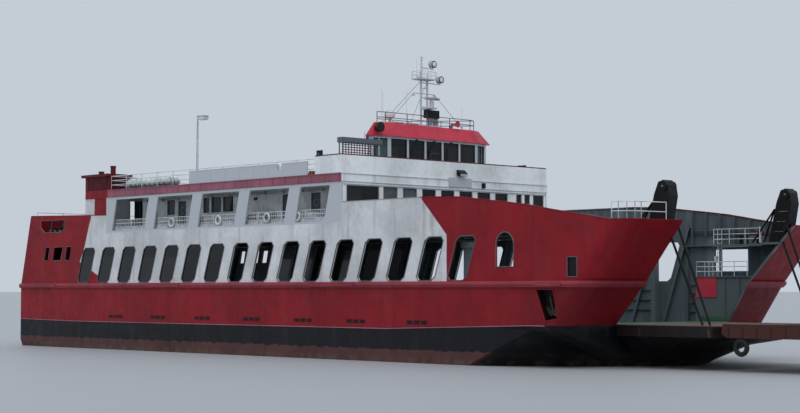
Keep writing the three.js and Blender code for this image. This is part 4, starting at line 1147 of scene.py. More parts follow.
@dataclass
class Shell(Assembly):
    """One side shell: window rims, frames inside, freeing ports, the bulwark's cap and the strake's doublers."""

    first: float = -29.7
    pitch: float = 2.67
    count: int = 16
    lean: float = 0.34
    sill: float = 4.98
    head: float = 7.6
    width: float = 1.6
    cut: float = 0.26
    inner: float = 9.63
    ports: tuple[float, ...] = (-26.3, -20.9, -15.6, -10.1, -4.7, 0.46, 6.0)

    def leaning(self, station: float, z: float) -> float:
        """Gives the station, at a level, of a line that leans with the windows."""
        return station + (z - self.sill) * self.lean

    def window(self, number: int, grow: float = 0.0) -> list[Corner]:
        """Gives the outline of a car deck window, with its corners cut off.

        Args:
            number: Its number, from aft.
            grow: How far the outline is moved outwards.

        Returns:
            Its corners.
        """
        foot = self.first + number * self.pitch - 0.89
        low, high, near, far = self.sill - grow, self.head + grow, foot - grow, foot + self.width + grow
        corners = [Vector(c) for c in ((near, low), (far, low), (self.leaning(far, high), high),
                                       (self.leaning(near, high), high))]
        return [tuple(corner + (other - corner).normalized() * self.cut) for i, corner in enumerate(corners)
                for other in (corners[i - 1], corners[(i + 1) % 4])]

    def build(self) -> None:
        """Builds one side."""
        self.window_rims()
        self.inner_frames()
        self.freeing_ports()
        self.cap()
        self.doublers()

    def window_rims(self) -> None:
        """Lays a round rim round every opening, and glazes the first windows."""
        paths = [rim(self.window(i)) for i in range(self.count)]
        paths += [rim([(low, 6.7), (high, 6.7), (high + 0.25, 7.75), (low + 0.25, 7.75)])
                  for low, high in ((-35.4, -34.8), (-34.2, -32.9), (-32.4, -31.7))]
        paths.append(rim([(-35.4, 8.9), (-32.9, 8.9), (-32.4, 9.3), (-32.4, 9.85), (-35.9, 9.85), (-35.9, 9.3)]))
        self.lay("window_rims", paths, 0.035, Finish.RIM, "hull_red", sides=6)
        panes = self.piece("car_deck_panes", "dark_steel")
        for i in range(7):
            panes.prism(self.window(i, -0.01), 1, 9.68, 9.71, Finish.SHADE)
        panes.place()

    def inner_frames(self) -> None:
        """Stands leaning T frames and stringers against the inside of the shell."""
        piece = self.piece("side_frames", "grey_paint")
        for i in range(-2, self.count + 1):
            foot = self.first + i * self.pitch - 0.89 - 0.53
            low, high = 2.25 if i >= 0 else 2.35, 8.5
            for width, near, far in ((0.03, 0.0, 0.24), (0.1, 0.24, 0.28)):
                outline = [(self.leaning(foot, z) + shift, z) for z, shift in
                           ((low, -width), (low, width), (high, width), (high, -width))]
                piece.prism(outline, 1, self.inner - near, self.inner - far, Finish.GREY)
        for z in (3.1, 3.75, 4.4, 7.9, 8.3):
            piece.box((-37.6, 9.6), (self.inner, self.inner - 0.14), (z, z + 0.04), Finish.GREY)
        piece.place()

    def freeing_ports(self) -> None:
        """Puts rows of three dark slots above the deck, each with a rim; the slots are painted shade that stands in
        for the openings.
        """
        stations = [station for first in self.ports for station in row(first + 0.3, 0.62, 3)]
        # Painted shade: black blocks in place of the openings.
        slots = [((x, HALF_BEAM, 2.46), (0.48, 0.03, 0.22)) for x in stations]
        self.strike("freeing_ports", slots, Finish.DARK, "dark_steel")
        rims = [rim(oblong(x - 0.26, x + 0.26, 2.33, 2.59)) for x in stations]
        self.lay("port_rims", rims, 0.02, Finish.RED, "hull_red", sides=6)

    def cap(self) -> None:
        """Lays a flat bar along the top of the bulwark, aft, forward and round the bow wing."""
        piece = self.piece("bulwark_cap", "hull_red")

        def section(inner: Sequence[float], outer: Sequence[float], z: float) -> list[Place]:
            """Gives the bar's section from one place across to another."""
            return [(*outer[:2], z + 0.002), (*outer[:2], z + 0.05), (*inner[:2], z + 0.05), (*inner[:2], z + 0.002)]
        aft = [(-37.35, 10.25), (-26.72, 10.0)]
        pale = [(0.02, 10.0), (7.25, 10.0)]
        fore = [(7.252, 10.0), (8.0, 10.0), (10.5, 9.9), (12.38, 9.67)]
        for table, finish in ((aft, Finish.RED), (pale, Finish.WHITE), (fore, Finish.RED)):
            piece.rings([section((x, HALF_BEAM - 0.2), (x, HALF_BEAM + 0.02), z) for x, z in table], finish)
        piece.rings([section(WING.spot(p, 8.2, -0.2), WING.spot(p, 8.2, 0.02), WING.edge(p))
                     for p in (0.002, *row(0.06, 0.05, 19), 1.0)], Finish.RED)
        piece.place(bevel=0.012)

    def doublers(self) -> None:
        """Lays worn doubler plates on the strake and a rounded bead along its face."""
        piece = self.piece("strake_doublers", "hull_red")
        for x in ((-38.0, -33.4), (-21.0, -17.2), (-3.0, 1.4), (16.7, 18.6)):
            piece.box(x, (9.9, 9.99), (4.63, 4.87), Finish.STRAKE)
        rise = [(-38.75, 2.1), (-31.0, 2.0), (4.0, 2.0), (16.0, 2.35), (17.3, 2.35)]
        piece.rings([[(x, y, level) for y, level in oblong(9.74, 9.79, z, z + 0.1)] for x, z in rise], Finish.BEAD)
        piece.place(bevel=0.03)


@dataclass
class Gallery(Assembly):
    """One side's gallery: round railings with panels and lifebuoys, doors, windows, lamps and benches."""

    posts: Row = (-26.3, 2.5, 10)
    buoys: tuple[float, ...] = (-18.6, -13.1, -7.75, -4.6)
    doorways: tuple[Span, ...] = ((-23.5, -22.6), (-19.95, -19.05), (-8.0, -7.2), (-5.0, -4.1))
    panes: tuple[Span, ...] = ((-21.3, -20.45), (-16.9, -16.3), (-15.95, -14.9), (-14.6, -13.5))
    wall_y: float = 8.0
    benches: tuple[float, ...] = (-18.6, -12.6, -10.4)

    def build(self) -> None:
        """Builds one side."""
        self.railing()
        self.lifebuoys()
        self.doors()
        self.windows()
        self.fittings()

    def railing(self) -> None:
        """Lays the railing, with panels in most of its bays."""
        first, step, count = self.posts
        path = [(first, 9.5, SALOON_Z), (first + step * count, 9.5, SALOON_Z)]
        bars = fence(path, 0.92, step, (0.925, 0.66, 0.4))
        self.lay("gallery_bars", bars, 0.025, Finish.RAIL, replaces=["gallery_rail"])
        pickets = [((x, 9.5, 9.16), (0.025, 0.025, 0.86)) for x in row(first + 0.15, 0.2, 124)]
        pickets += [((first + step * (i + 0.5), 9.46, 8.92), (step - 0.1, 0.02, 0.34)) for i in range(count)]
        self.strike("gallery_pickets", pickets, Finish.RAIL)

    def lifebuoys(self) -> None:
        """Hangs a lifebuoy in four bays of the railing."""
        buoys = [((x, 9.6, 9.25), (1.0, 1.0, 1.0)) for x in self.buoys]
        self.strike("lifebuoys", buoys, Finish.RAFT, shape=self.yard.hoop)

    def doors(self) -> None:
        """Hangs a door with a porthole, a handle and a frame in each doorway of the saloon's side."""
        piece, paths = self.piece("saloon_doors", "grey_paint"), []
        for low, high in self.doorways:
            port = ((low + high) / 2, 7.95, 10.2)
            piece.box((low + 0.02, high - 0.02), (7.9, 7.96), (8.83, 10.83), Finish.DOOR)
            piece.disc(port, ABEAM, 0.2, 0.03, Finish.GLASS, 20)
            piece.turned(port, ABEAM, [(0, 0.24), (0.02, 0.24), (0.02, 0.2)], Finish.STEEL, 20)
            piece.rod((high - 0.14, 7.99, 9.7), (high - 0.14, 7.99, 9.95), 0.015, Finish.STEEL)
            paths.append(rim(oblong(low, high, 8.8, 10.85), self.wall_y))
        piece.place()
        self.lay("saloon_door_frames", paths, 0.03, Finish.GREY, "grey_paint", sides=6)

    def windows(self) -> None:
        """Glazes the saloon's side windows."""
        piece, paths = self.piece("saloon_side_glass", "dark_steel"), []
        for low, high in self.panes:
            piece.box((low + 0.01, high - 0.01), (7.92, 7.94), (9.96, 10.94), Finish.SHADE)
            paths.append(rim(oblong(low, high, 9.95, 10.95), self.wall_y))
        piece.place()
        self.lay("saloon_side_rims", paths, 0.028, Finish.DARK, "dark_steel", sides=6)

    def fittings(self) -> None:
        """Adds deckhead lamps, a pipe with brackets, hose boxes and benches."""
        lamps = [((x, 8.8, 11.27), (0.7, 0.14, 0.08)) for x in row(-24.6, 2.665, 9)]
        self.strike("gallery_lamps", lamps, Finish.LAMP)
        piece = self.piece("gallery_fittings")
        piece.pipe([(-24.3, 8.08, 11.1), (-0.3, 8.08, 11.1)], 0.04, Finish.CREAM)
        piece.pipe([(-24.3, 8.07, 10.98), (-0.3, 8.07, 10.98)], 0.02, Finish.DARK)
        for x in row(-23.8, 2.0, 12):
            piece.box((x, x + 0.04), (self.wall_y, 8.14), (10.94, 11.16), Finish.STEEL)
        piece.box((-4.0, -2.85), (9.4, 9.05), (8.72, 9.5), Finish.RAFT)
        piece.box((-4.03, -2.82), (9.42, 9.03), (9.5, 9.54), Finish.STEEL)
        piece.box((-25.65, -24.9), (7.95, 7.5), (8.72, 11.1), Finish.DARK)
        piece.box((-11.0, -10.8), (self.wall_y, 8.14), (10.6, 10.8), Finish.DARK)
        for x in self.benches:
            for y in (8.12, 8.28, 8.44):
                piece.box((x, x + 1.7), (y, y + 0.12), (9.12, 9.16), Finish.TEAK)
            for z in (9.3, 9.5):
                piece.box((x, x + 1.7), (8.03, 8.07), (z, z + 0.13), Finish.TEAK)
            for foot in (x + 0.15, x + 1.5):
                piece.box((foot, foot + 0.05), (8.1, 8.54), (SALOON_Z, 9.12), Finish.STEEL)
        piece.place(bevel=0.008)


@dataclass
class Saloon(Assembly):
    """Saloon front and inside: glazed front windows, rows of seats and strips of lamps."""

    # columns: y where the pane begins and ends, z of its sill
    panes: tuple = ((-9.3, -6.55, 10.02), *((-6.1 + 1.76 * i, -4.9 + 1.76 * i, 10.25) for i in range(7)),
                    (6.6, 7.1, 10.25), (7.45, 7.95, 10.25), (8.35, 9.4, 10.25))
    rows: Row = (-22.6, 1.25, 17)
    abreast: tuple[float, ...] = (-6.6, -5.9, -5.2, -4.5, -2.0, -1.3, -0.6, 0.6, 1.3, 2.0, 4.5, 5.2, 5.9, 6.6)
    aft_x: float = -24.5

    def build(self) -> None:
        """Builds the saloon's dress."""
        glass, paths = Piece("saloon_front_glass", "dark_steel"), []
        for i, (low, high, sill) in enumerate(self.panes):
            # Painted reflection: the second and third panes take the lighter glass for the sky they reflect.
            tone = Finish.PAINTED_REFLECTION if i in (1, 2) else Finish.GLASS
            glass.box((-0.07, -0.05), (low + 0.01, high - 0.01), (sill + 0.01, 11.09), tone)
            paths.append(cross_rim(oblong(low, high, sill, 11.1), 0.0))
        glass.place()
        self.lay("saloon_front_rims", paths, 0.035, Finish.RIM, sides=6)
        self.front()
        self.seats()
        self.aft_wall()

    def front(self) -> None:
        """Adds stiffeners, a drip rail, lamps and hoses to the saloon's front."""
        piece = Piece("saloon_front_fittings")
        piece.box((0.0, 0.07), (-9.6, 9.6), (11.17, 11.21), Finish.WHITE)
        piece.box((0.0, 0.05), (-9.6, 9.6), (9.98, 10.01), Finish.WHITE)
        for y in row(-8.4, 2.1, 9):
            piece.box((0.0, 0.06), (y, y + 0.03), (8.72, 9.98), Finish.WHITE)
        for y in (-5.4, 0.0, 5.4):
            piece.box((0.0, 0.2), (y - 0.2, y + 0.2), (9.5, 9.68), Finish.STEEL)
            piece.box((0.2, 0.22), (y - 0.17, y + 0.17), (9.52, 9.66), Finish.LAMP)
        for y in (-7.6, 7.3):
            piece.box((0.0, 0.18), (y, y + 0.5), (9.0, 9.55), Finish.VISOR)
        piece.place(bevel=0.008)

    def seats(self) -> None:
        """Fills the saloon with rows of seats on either side of an aisle."""
        places = []
        for x in row(*self.rows):
            for y in self.abreast:
                places.append(((x, y, 9.1), (0.5, 0.52, 0.1)))
                places.append(((x - 0.26, y, 9.45), (0.09, 0.52, 0.75), (0, -12, 0)))
        self.strike("saloon_seats", places, Finish.SEAT, "grey_paint")
        legs = Piece("saloon_seat_legs", "grey_paint")
        for x in row(*self.rows):
            for low, high in ((-6.8, -4.3), (-2.2, -0.4), (0.4, 2.2), (4.3, 6.8)):
                legs.box((x - 0.04, x + 0.04), (low, high), (8.95, 9.03), Finish.STEEL)
                for y in (low + 0.3, high - 0.36):
                    legs.box((x - 0.03, x + 0.03), (y, y + 0.06), (SALOON_Z, 8.95), Finish.STEEL)
        legs.place()
        lamps = [((x, y, 11.24), (1.3, 0.2, 0.08)) for x in row(-22.0, 2.5, 9) for y in (-5.2, 0.0, 5.2)]
        self.strike("saloon_lamps", lamps, Finish.LAMP)

    def aft_wall(self) -> None:
        """Hangs the doors and windows of the saloon's after wall."""
        piece, paths = Piece("saloon_aft_fittings"), []
        for y in (-5.0, 4.0):
            piece.box((-24.46, -24.42), (y + 0.02, y + 0.98), (8.83, 10.78), Finish.DOOR)
            piece.disc((-24.46, y + 0.5, 10.2), ASTERN, 0.22, 0.02, Finish.GLASS, 20)
            paths.append(cross_rim(oblong(y, y + 1, 8.8, 10.8), self.aft_x))
        for y in (-2.4, 0.8):
            piece.box((-24.46, -24.44), (y + 0.01, y + 1.59), (9.76, 10.74), Finish.GLASS)
            paths.append(cross_rim(oblong(y, y + 1.6, 9.75, 10.75), self.aft_x))
        piece.box((-24.7, self.aft_x), (-0.25, 0.25), (10.95, 11.15), Finish.LAMP)
        piece.place()
        self.lay("saloon_aft_rims", paths, 0.03, Finish.RIM, sides=6)


@dataclass
class TopDeck(Assembly):
    """Top deck: round railings, edge bars, the blank board, vents, lockers, benches and the lamp pole's lamp."""

    bars: tuple[float, ...] = (1.025, 0.7, 0.37)
    edge_bars: Span = (11.34, 11.84)
    bench_z: float = 12.32

    def build(self) -> None:
        """Builds the deck's dress."""
        self.railing()
        self.fascia()
        self.ventilators()
        self.lamp()

    def railing(self) -> None:
        """Lays the railing round the after part of the deck."""
        half = [(-2.75, 9.58), (-26.3, 9.58), (-26.3, 7.3), (-29.6, 7.3)]
        path = [(x, -y, TOP_Z) for x, y in half] + [(x, y, TOP_Z) for x, y in reversed(half)]
        self.lay("top_deck_bars", fence(path, 1.03, 1.9, self.bars), 0.025, Finish.RAIL, replaces=["top_deck_rail"])

    def fascia(self) -> None:
        """Runs a gutter bar and brackets along the deck's edge, and hangs the blank board in front."""
        piece = Piece("deck_edge_fittings", "visor_red")
        for piece.side in SIDES.values():
            for z in self.edge_bars:
                piece.box((-26.4, 0.0), (9.78, 9.82), (z, z + 0.04), Finish.FASCIA)
            for x in row(-25.6, 1.333, 20):
                piece.box((x, x + 0.03), (9.78, 9.81), (11.38, 11.84), Finish.FASCIA)
        for z in self.edge_bars:
            piece.box((0.03, 0.07), (-HALF_BEAM, HALF_BEAM), (z, z + 0.04), Finish.WHITE)
        piece.place()
        board = Piece("front_board")
        board.box((0.05, 0.1), (-0.15, 2.05), (11.38, 12.02), Finish.WHITE)
        board.place(bevel=0.015)
        lamp = Piece("foredeck_floodlight", "dark_steel")
        lamp.prism([(0.02, 12.2), (0.3, 12.12), (0.36, 12.3), (0.06, 12.56), (0.02, 12.56)], 1, 0.62, 1.38,
                   Finish.DARK)
        lamp.prism([(0.3, 12.1), (0.34, 12.1), (0.4, 12.28), (0.36, 12.28)], 1, 0.68, 1.32, Finish.LAMP)
        lamp.box((0.03, 0.2), (3.05, 3.3), (11.4, 11.75), Finish.DARK)
        lamp.place(bevel=0.01)

    def ventilators(self) -> None:
        """Stands mushroom ventilators, lockers, benches and the hatch's coaming on the deck."""
        piece = Piece("deck_ventilators")
        for x, y in ((-22.5, -4.0), (-22.5, 4.0), (-17.0, -5.4), (-17.0, 5.4), (-10.6, -6.0), (-10.6, 6.0),
                     (-8.4, 0.0)):
            piece.turned((x, y, TOP_Z), UP, [(0, 0.3), (0.05, 0.3), (0.05, 0.2), (0.75, 0.2), (0.75, 0.4),
                                             (0.85, 0.42), (0.98, 0.3), (1.02, 0.05)], Finish.WHITE, 20)
        for x, y in ((-19.6, -2.0), (-19.6, 2.0), (-13.4, 0.0)):
            piece.box((x, x + 1.6), (y - 0.35, y + 0.35), (11.95, 12.55), Finish.GREY)
            piece.box((x - 0.03, x + 1.63), (y - 0.38, y + 0.38), (12.55, 12.6), Finish.GREY)
        for x in row(-12.5, 1.5, 3):
            for y in (-3.4, 3.4):
                piece.box((x, x + 0.4), (y - 1.0, y + 1.0), (self.bench_z, 12.37), Finish.TEAK)
                piece.box((x - 0.05, x), (y - 1.0, y + 1.0), (12.45, 12.75), Finish.TEAK)
                for foot in (y - 0.8, y + 0.75):
                    piece.box((x, x + 0.38), (foot, foot + 0.05), (TOP_Z, self.bench_z), Finish.STEEL)
                    piece.box((x - 0.03, x + 0.02), (foot, foot + 0.05), (12.3, 12.75), Finish.STEEL)
        piece.place(bevel=0.01)
        coaming = Piece("hatch_coaming")
        for y in (-0.6, 0.52):
            coaming.box((-28.83, -26.82), (y, y + 0.08), (TOP_Z, 12.15), Finish.WHITE)
        coaming.box((-26.9, -26.82), (-0.52, 0.52), (TOP_Z, 12.15), Finish.WHITE)
        coaming.place(bevel=0.01)
        hoops = [fence([(-28.7, y, 12.1), (-26.9, y, 12.1)], 0.9, 0.9, (0.88, 0.45)) for y in (-0.56, 0.56)]
        self.lay("hatch_rails", [path for group in hoops for path in group], 0.022, Finish.RAIL)

    def lamp(self) -> None:
        """Glazes the lamp on its pole, and runs its cable and steps."""
        piece = Piece("pole_lamp_fittings")
        piece.box((-15.5, -14.95), (-9.53, -9.17), (16.38, 16.42), Finish.LAMP)
        piece.box((-15.62, -14.88), (-9.6, -9.1), (16.64, 16.67), Finish.STEEL)
        piece.pipe([(-15.85, -9.45, 12.0), (-15.85, -9.42, 14.5), (-15.85, -9.4, 16.5)], 0.012, Finish.DARK)
        for z in row(12.5, 0.45, 9):
            piece.rod((-15.99, -9.35, z), (-15.71, -9.35, z), 0.012, Finish.STEEL)
        piece.place()


@dataclass
class DeckSide(Assembly):
    """One side of the top deck: life-rafts in their cradles, and the stiffeners of the white screen."""

    drums: Row = (-24.6, 0.6, 9)
    drum_y: float = 8.05
    drum_z: float = 12.32
    beds: Span = (8.3, 8.95)

    def build(self) -> None:
        """Builds one side."""
        self.rafts()
        self.screen()

    def rafts(self) -> None:
        """Lays nine life-raft drums in their cradles."""
        piece = self.piece("life_rafts")
        shell = [(0.0, 0.12), (0.05, 0.22), (0.12, 0.262), (0.2, 0.27), (1.05, 0.27), (1.13, 0.262), (1.2, 0.22),
                 (1.25, 0.12)]
        for x in row(*self.drums):
            centre = (x, self.drum_y, self.drum_z)
            piece.turned(centre, ABEAM, shell, Finish.RAFT, 20)
            for at_y in (0.3, 0.91):
                piece.turned(centre, ABEAM, [(at_y, 0.27), (at_y, 0.278), (at_y + 0.04, 0.278),
                                             (at_y + 0.04, 0.27)], Finish.DARK, 20)
            piece.turned(centre, ABEAM, [(0.6, 0.27), (0.6, 0.285), (0.65, 0.285), (0.65, 0.27)], Finish.STEEL, 20)
            for y in self.beds:
                for near in (x - 0.22, x + 0.14):
                    piece.box((near, near + 0.08), (y, y + 0.1), (11.96, 12.2), Finish.STEEL)
        for y in self.beds:
            piece.box((-24.95, -19.45), (y, y + 0.1), (TOP_Z, 12.05), Finish.STEEL)
        piece.place(replaces=[self.named("raft_rack")])

    def screen(self) -> None:
        """Stiffens the white screen on the deck's edge."""
        piece = self.piece("screen_stiffeners")
        for x in row(-16.15, 1.6, 7):
            piece.box((x, x + 0.05), (9.67, 9.55), (11.91, 12.74), Finish.WHITE)
        piece.box((-16.2, -6.66), (9.76, 9.62), (12.75, 12.8), Finish.WHITE)
        piece.box((-5.98, -3.4), (9.76, 9.62), (12.75, 12.8), Finish.WHITE)
        for x in row(-15.4, 1.6, 6):
            piece.box((x, x + 0.02), (9.75, 9.765), (11.95, 12.72), Finish.WHITE)
        piece.place()


@dataclass
class Funnel(Assembly):
    """One funnel casing: louvres, doors, cap rims and pipe bands."""

    face: Span = (9.63, 9.67)
    louvres: Row = (12.08, 0.085, 10)
    pipe_y: float = 8.7

    def build(self) -> None:
        """Dresses one funnel."""
        louvres = [((-28.1, 9.64, z), (2.5, 0.05, 0.04)) for z in row(*self.louvres)]
        louvres += [((x, 8.65, z), (0.05, 1.5, 0.04)) for x in (-26.6, -29.77) for z in row(*self.louvres)]
        self.strike("funnel_louvres", louvres, Finish.MAROON, "dark_steel")
        piece = self.piece("funnel_fittings", "dark_steel")
        for x in (-29.4, -26.84):
            piece.box((x, x + 0.06), self.face, (12.02, 12.92), Finish.DARK)
        piece.box((-29.42, -26.78), self.face, (11.98, 12.03), Finish.DARK)
        piece.box((-30.05, -26.52), (7.55, 9.83), (13.12, 13.15), Finish.DARK)
        for x, top in ((-29.0, 13.45), (-27.4, 13.8)):
            piece.turned((x, self.pipe_y, 0), UP, [(top - 0.08, 0.2), (top - 0.08, 0.23), (top + 0.01, 0.23),
                                                   (top + 0.01, 0.17), (top - 0.05, 0.17)], Finish.RUST, 24)
            piece.turned((x, self.pipe_y, 0), UP, [(13.14, 0.3), (13.2, 0.24), (13.2, 0.2)], Finish.DARK, 24)
        piece.box((-28.2, -27.3), (7.62, 7.65), (9.0, 10.9), Finish.DOOR)
        piece.rod((-27.4, 7.58, 9.8), (-27.4, 7.58, 10.1), 0.015, Finish.STEEL)
        piece.box((-29.7, -26.65), (9.63, 9.66), (11.28, 11.34), Finish.STACK)
        piece.box((-28.5, -28.45), (9.63, 9.66), (8.8, 11.28), Finish.STACK)
        piece.place()


def slanting(run: float, out: float) -> Corner:
    """Gives a place on the house's port side wall, by its distance from the front corner and off the wall."""
    turn = math.atan2(3.85, 4.2)
    return (-2.0 - run * math.cos(turn) - out * math.sin(turn), 5.6 - run * math.sin(turn) + out * math.cos(turn))


@dataclass
class BridgeDoor(Assembly):
    """What sits on a door of the wheelhouse."""

    handle: float = 3.78
    face: float = 0.01

    def on_wall(self, piece: Piece, run: Sequence[float], out: Sequence[float], z: Sequence[float],
                finish: Finish) -> None:
        """Adds a block that lies along a slanting side wall."""
        piece.prism([slanting(r, o) for r, o in oblong(*run, *out)], 2, *z, finish)

    def build(self) -> None:
        """Puts a window, a handle and vent slots on each door."""
        piece = self.piece("wheelhouse_door_fittings", "grey_paint", "wheelhouse_door")
        self.on_wall(piece, (3.2, 3.7), (self.face, 0.022), (13.1, 13.85), Finish.GLASS)
        for z in row(12.2, 0.08, 5):
            self.on_wall(piece, (3.25, 3.7), (self.face, 0.03), (z, z + 0.03), Finish.STEEL)
        grip = slanting(self.handle, 0.06)
        piece.rod((*grip, 12.85), (*grip, 13.1), 0.015, Finish.STEEL)
        for z in (12.87, 13.08):
            piece.rod((*slanting(self.handle, self.face), z), (*grip, z), 0.012, Finish.STEEL)
        piece.place()


@dataclass
class Wheelhouse(Assembly):
    """Wheelhouse: glass and gaskets, console, roof railing, lamps, horn and searchlight."""

    sill: float = 13.25
    head: float = 14.5
    floor: float = 11.92
    hub: Place = (-3.1, 0, 12.85)

    @staticmethod
    def plan(out: float) -> list[Corner]:
        """Gives the corners of the house, grown by a distance."""
        starboard = [(-6.2 - out, -1.75 - 0.44 * out), (-2.0 + 0.45 * out, -5.6 - 1.77 * out),
                     (-1.5 + out, -4.15 - 0.17 * out)]
        return starboard + [(x, -y) for x, y in reversed(starboard)]

    def build(self) -> None:
        """Builds the wheelhouse's dress."""
        self.glazing()
        self.roof()
        self.inside()
        self.outside()

    def glazing(self) -> None:
        """Glazes every window and lays its gasket."""
        panes = [((-1.5, y), (-1.5, y + 1.4), Finish.GLASS) for y in (-4.0, -2.36, -0.72, 0.92, 2.56)]
        panes.append(((-6.2, -1.1), (-6.2, 1.1), Finish.GLASS))
        slants = [[(-1.5 - (y - 4.15) / 1.45 * 0.5, y) for y in ends] for ends in ((4.33, 4.84), (4.96, 5.25))]
        slants += [[slanting(run, 0) for run in ends] for ends in ((0.4, 1.6), (1.8, 2.65))]
        panes += [((x, side * y), (far_x, side * far_y), Finish.GREEN_GLASS) for side in SIDES.values()
                  for (x, y), (far_x, far_y) in slants]
        glass, paths, middle = Piece("wheelhouse_glass", "dark_steel"), [], Vector((-3.2, 0.0))
        for start, end, finish in panes:
            run = (Vector(end) - Vector(start)).normalized()
            inward = Vector((-run.y, run.x))
            if inward.dot(middle - Vector(start)) < 0:
                inward.negate()
            section = ((start, 0.05), (end, 0.05), (end, 0.075), (start, 0.075))
            glass.prism([tuple(Vector(p) + inward * depth) for p, depth in section], 2, self.sill + 0.01,
                        self.head - 0.01, finish)
            paths.append(frame_round([(*p, z) for p, z in ((start, self.sill), (end, self.sill), (end, self.head),
                                                           (start, self.head))]))
        glass.place()
        self.lay("wheelhouse_gaskets", paths, 0.028, Finish.DARK, "dark_steel", sides=6)

    def roof(self) -> None:
        """Lays the roof's railing, and stands what is on the roof."""
        edge = [(x, y, ROOF_Z) for x, y in self.plan(-0.55)]
        self.lay("roof_bars", fence([*edge, edge[0]], 0.74, 1.9, (0.725, 0.37)), 0.025, Finish.RIM,
                 replaces=["roof_rail"])
        piece = Piece("roof_fittings")
        piece.turned((-3.5, -2.3, ROOF_Z), UP, [(0, 0.1), (0.5, 0.08), (0.55, 0.34), (0.75, 0.36), (0.95, 0.3),
                                                (1.1, 0.16), (1.14, 0.02)], Finish.RAFT, 24)
        piece.turned((-3.7, 2.1, ROOF_Z), UP, [(0, 0.07), (0.35, 0.07), (0.38, 0.2), (0.55, 0.2), (0.66, 0.1),
                                               (0.68, 0.02)], Finish.RAFT, 20)
        for x, y, height in ((-5.5, -1.2, 2.9), (-5.5, 1.2, 2.9), (-3.2, -3.2, 2.2), (-2.2, 3.4, 1.6)):
            piece.rod((x, y, ROOF_Z), (x, y, 15.85), 0.04, Finish.STEEL)
            piece.rod((x, y, 15.85), (x, y, ROOF_Z + height), 0.014, Finish.RAIL, 6)
        for x, y in ((-5.2, -1.3), (-5.2, 0.2)):
            piece.box((x, x + 0.9), (y, y + 1.1), (15.62, 16.05), Finish.CREAM)
            piece.box((x + 0.9, x + 0.92), (y + 0.15, y + 0.95), (15.7, 15.98), Finish.STEEL)
        piece.place(bevel=0.008)

    def inside(self) -> None:
        """Furnishes the wheelhouse with a console, two chairs, a wheel and screens."""
        piece = Piece("wheelhouse_furniture", "grey_paint")
        piece.prism([(-3.0, self.floor), (-2.2, self.floor), (-2.2, 12.95), (-2.5, 13.05), (-3.0, 12.8)], 1, -3.2,
                    3.2, Finish.GREY)
        for y in row(-2.8, 1.0, 6):
            piece.prism([(-2.9, 12.86), (-2.86, 12.84), (-2.56, 13.06), (-2.6, 13.08)], 1, y, y + 0.6, Finish.DARK)
        for y in (-1.6, 0.9):
            piece.turned((-4.0, y + 0.35, self.floor), UP, [(0, 0.3), (0.05, 0.3), (0.05, 0.07), (0.55, 0.07)],
                         Finish.STEEL, 16)
            piece.box((-4.3, -3.7), (y + 0.05, y + 0.65), (12.45, 12.6), Finish.DARK)
            piece.box((-4.36, -4.24), (y + 0.05, y + 0.65), (12.55, 13.35), Finish.DARK)
        wheel = [(-3.1, 0.3 * math.cos(a), 12.85 + 0.3 * math.sin(a)) for a in row(0, math.pi / 10, 20)]
        piece.pipe(wheel, 0.02, Finish.DARK, closed=True)
        piece.rod(self.hub, (-2.9, 0, 12.85), 0.03, Finish.STEEL)
        for turn in row(0, math.pi / 3, 6):
            piece.rod(self.hub, (-3.1, 0.3 * math.cos(turn), 12.85 + 0.3 * math.sin(turn)), 0.012, Finish.STEEL)
        piece.place(bevel=0.01)

    def outside(self) -> None:
        """Adds wipers, sidelights, horn, searchlight, ladder, the bulwark's cap and the awning's guard."""
        piece = Piece("wheelhouse_fittings")
        for y in (-2.36, -0.72, 0.92):
            piece.rod((-1.47, y + 0.7, 14.47), (-1.46, y + 0.25, 13.6), 0.012, Finish.DARK, 6)
            piece.rod((-1.46, y + 0.2, 13.95), (-1.46, y + 0.3, 13.35), 0.016, Finish.DARK, 6)
            piece.box((-1.5, -1.42), (y + 0.62, y + 0.78), (14.5, 14.58), Finish.DARK)
        for piece.side, lens in ((-1, Finish.GREEN_LAMP), (1, Finish.RED_LAMP)):
            piece.box((-2.5, -1.9), (9.72, 9.68), (13.06, 13.44), Finish.DARK)
            piece.box((-2.5, -2.46), (9.72, 9.45), (13.06, 13.44), Finish.DARK)
            piece.disc((-2.3, 9.64, 13.05), UP, 0.09, 0.26, lens, 16)
        piece.rod((-1.9, -5.2, 15.2), (-1.5, -5.2, 15.2), 0.06, Finish.DARK)
        hood = [(0, 0.2), (0.05, 0.33), (0.4, 0.34), (0.42, 0.28)]
        piece.turned((-1.62, -5.2, 15.2), AHEAD, hood, Finish.MAROON, 24)
        piece.disc((-1.21, -5.2, 15.2), AHEAD, 0.28, 0.02, Finish.SHADE, 24)
        piece.turned((-2.3, 2.4, 15.9), AHEAD, [(0, 0.05), (0.35, 0.06), (0.6, 0.16), (0.68, 0.24), (0.66, 0.2)],
                     Finish.VISOR, 20)
        piece.box((-2.4, -2.2), (2.3, 2.5), (ROOF_Z, 15.86), Finish.STEEL)
        piece.place(bevel=0.006)
        near, far = ((x, -y) for x, y in (slanting(4.6, 0.3), slanting(5.05, 0.3)))
        ladder = [[(*near, 11.95), (*near, 15.3)], [(*far, 11.95), (*far, 15.3)]]
        ladder += [[(*near, z), (*far, z)] for z in row(12.2, 0.3, 11)]
        self.lay("wheelhouse_ladder", ladder, 0.022, Finish.RAIL)
        cap = [[(x, y, 13.07) for x, y in ((-2.6, -9.7), (-0.05, -9.7), (-0.05, 9.7), (-2.6, 9.7))]]
        self.lay("bridge_bulwark_cap", cap, 0.06, Finish.MAROON, "hull_red", sides=10)
        awning = Piece("bridge_awning_fittings", "grey_paint")
        awning.box((-0.15, -0.12), (-9.5, -6.1), (13.9, 14.14), Finish.GREY)
        awning.place()
        guard = [[(-0.25, -9.4, z), (-0.25, -7.0, z)] for z in row(13.25, 0.16, 4)]
        guard += [[(-0.25, y, 13.12), (-0.25, y, 13.86)] for y in row(-9.4, 0.24, 11)]
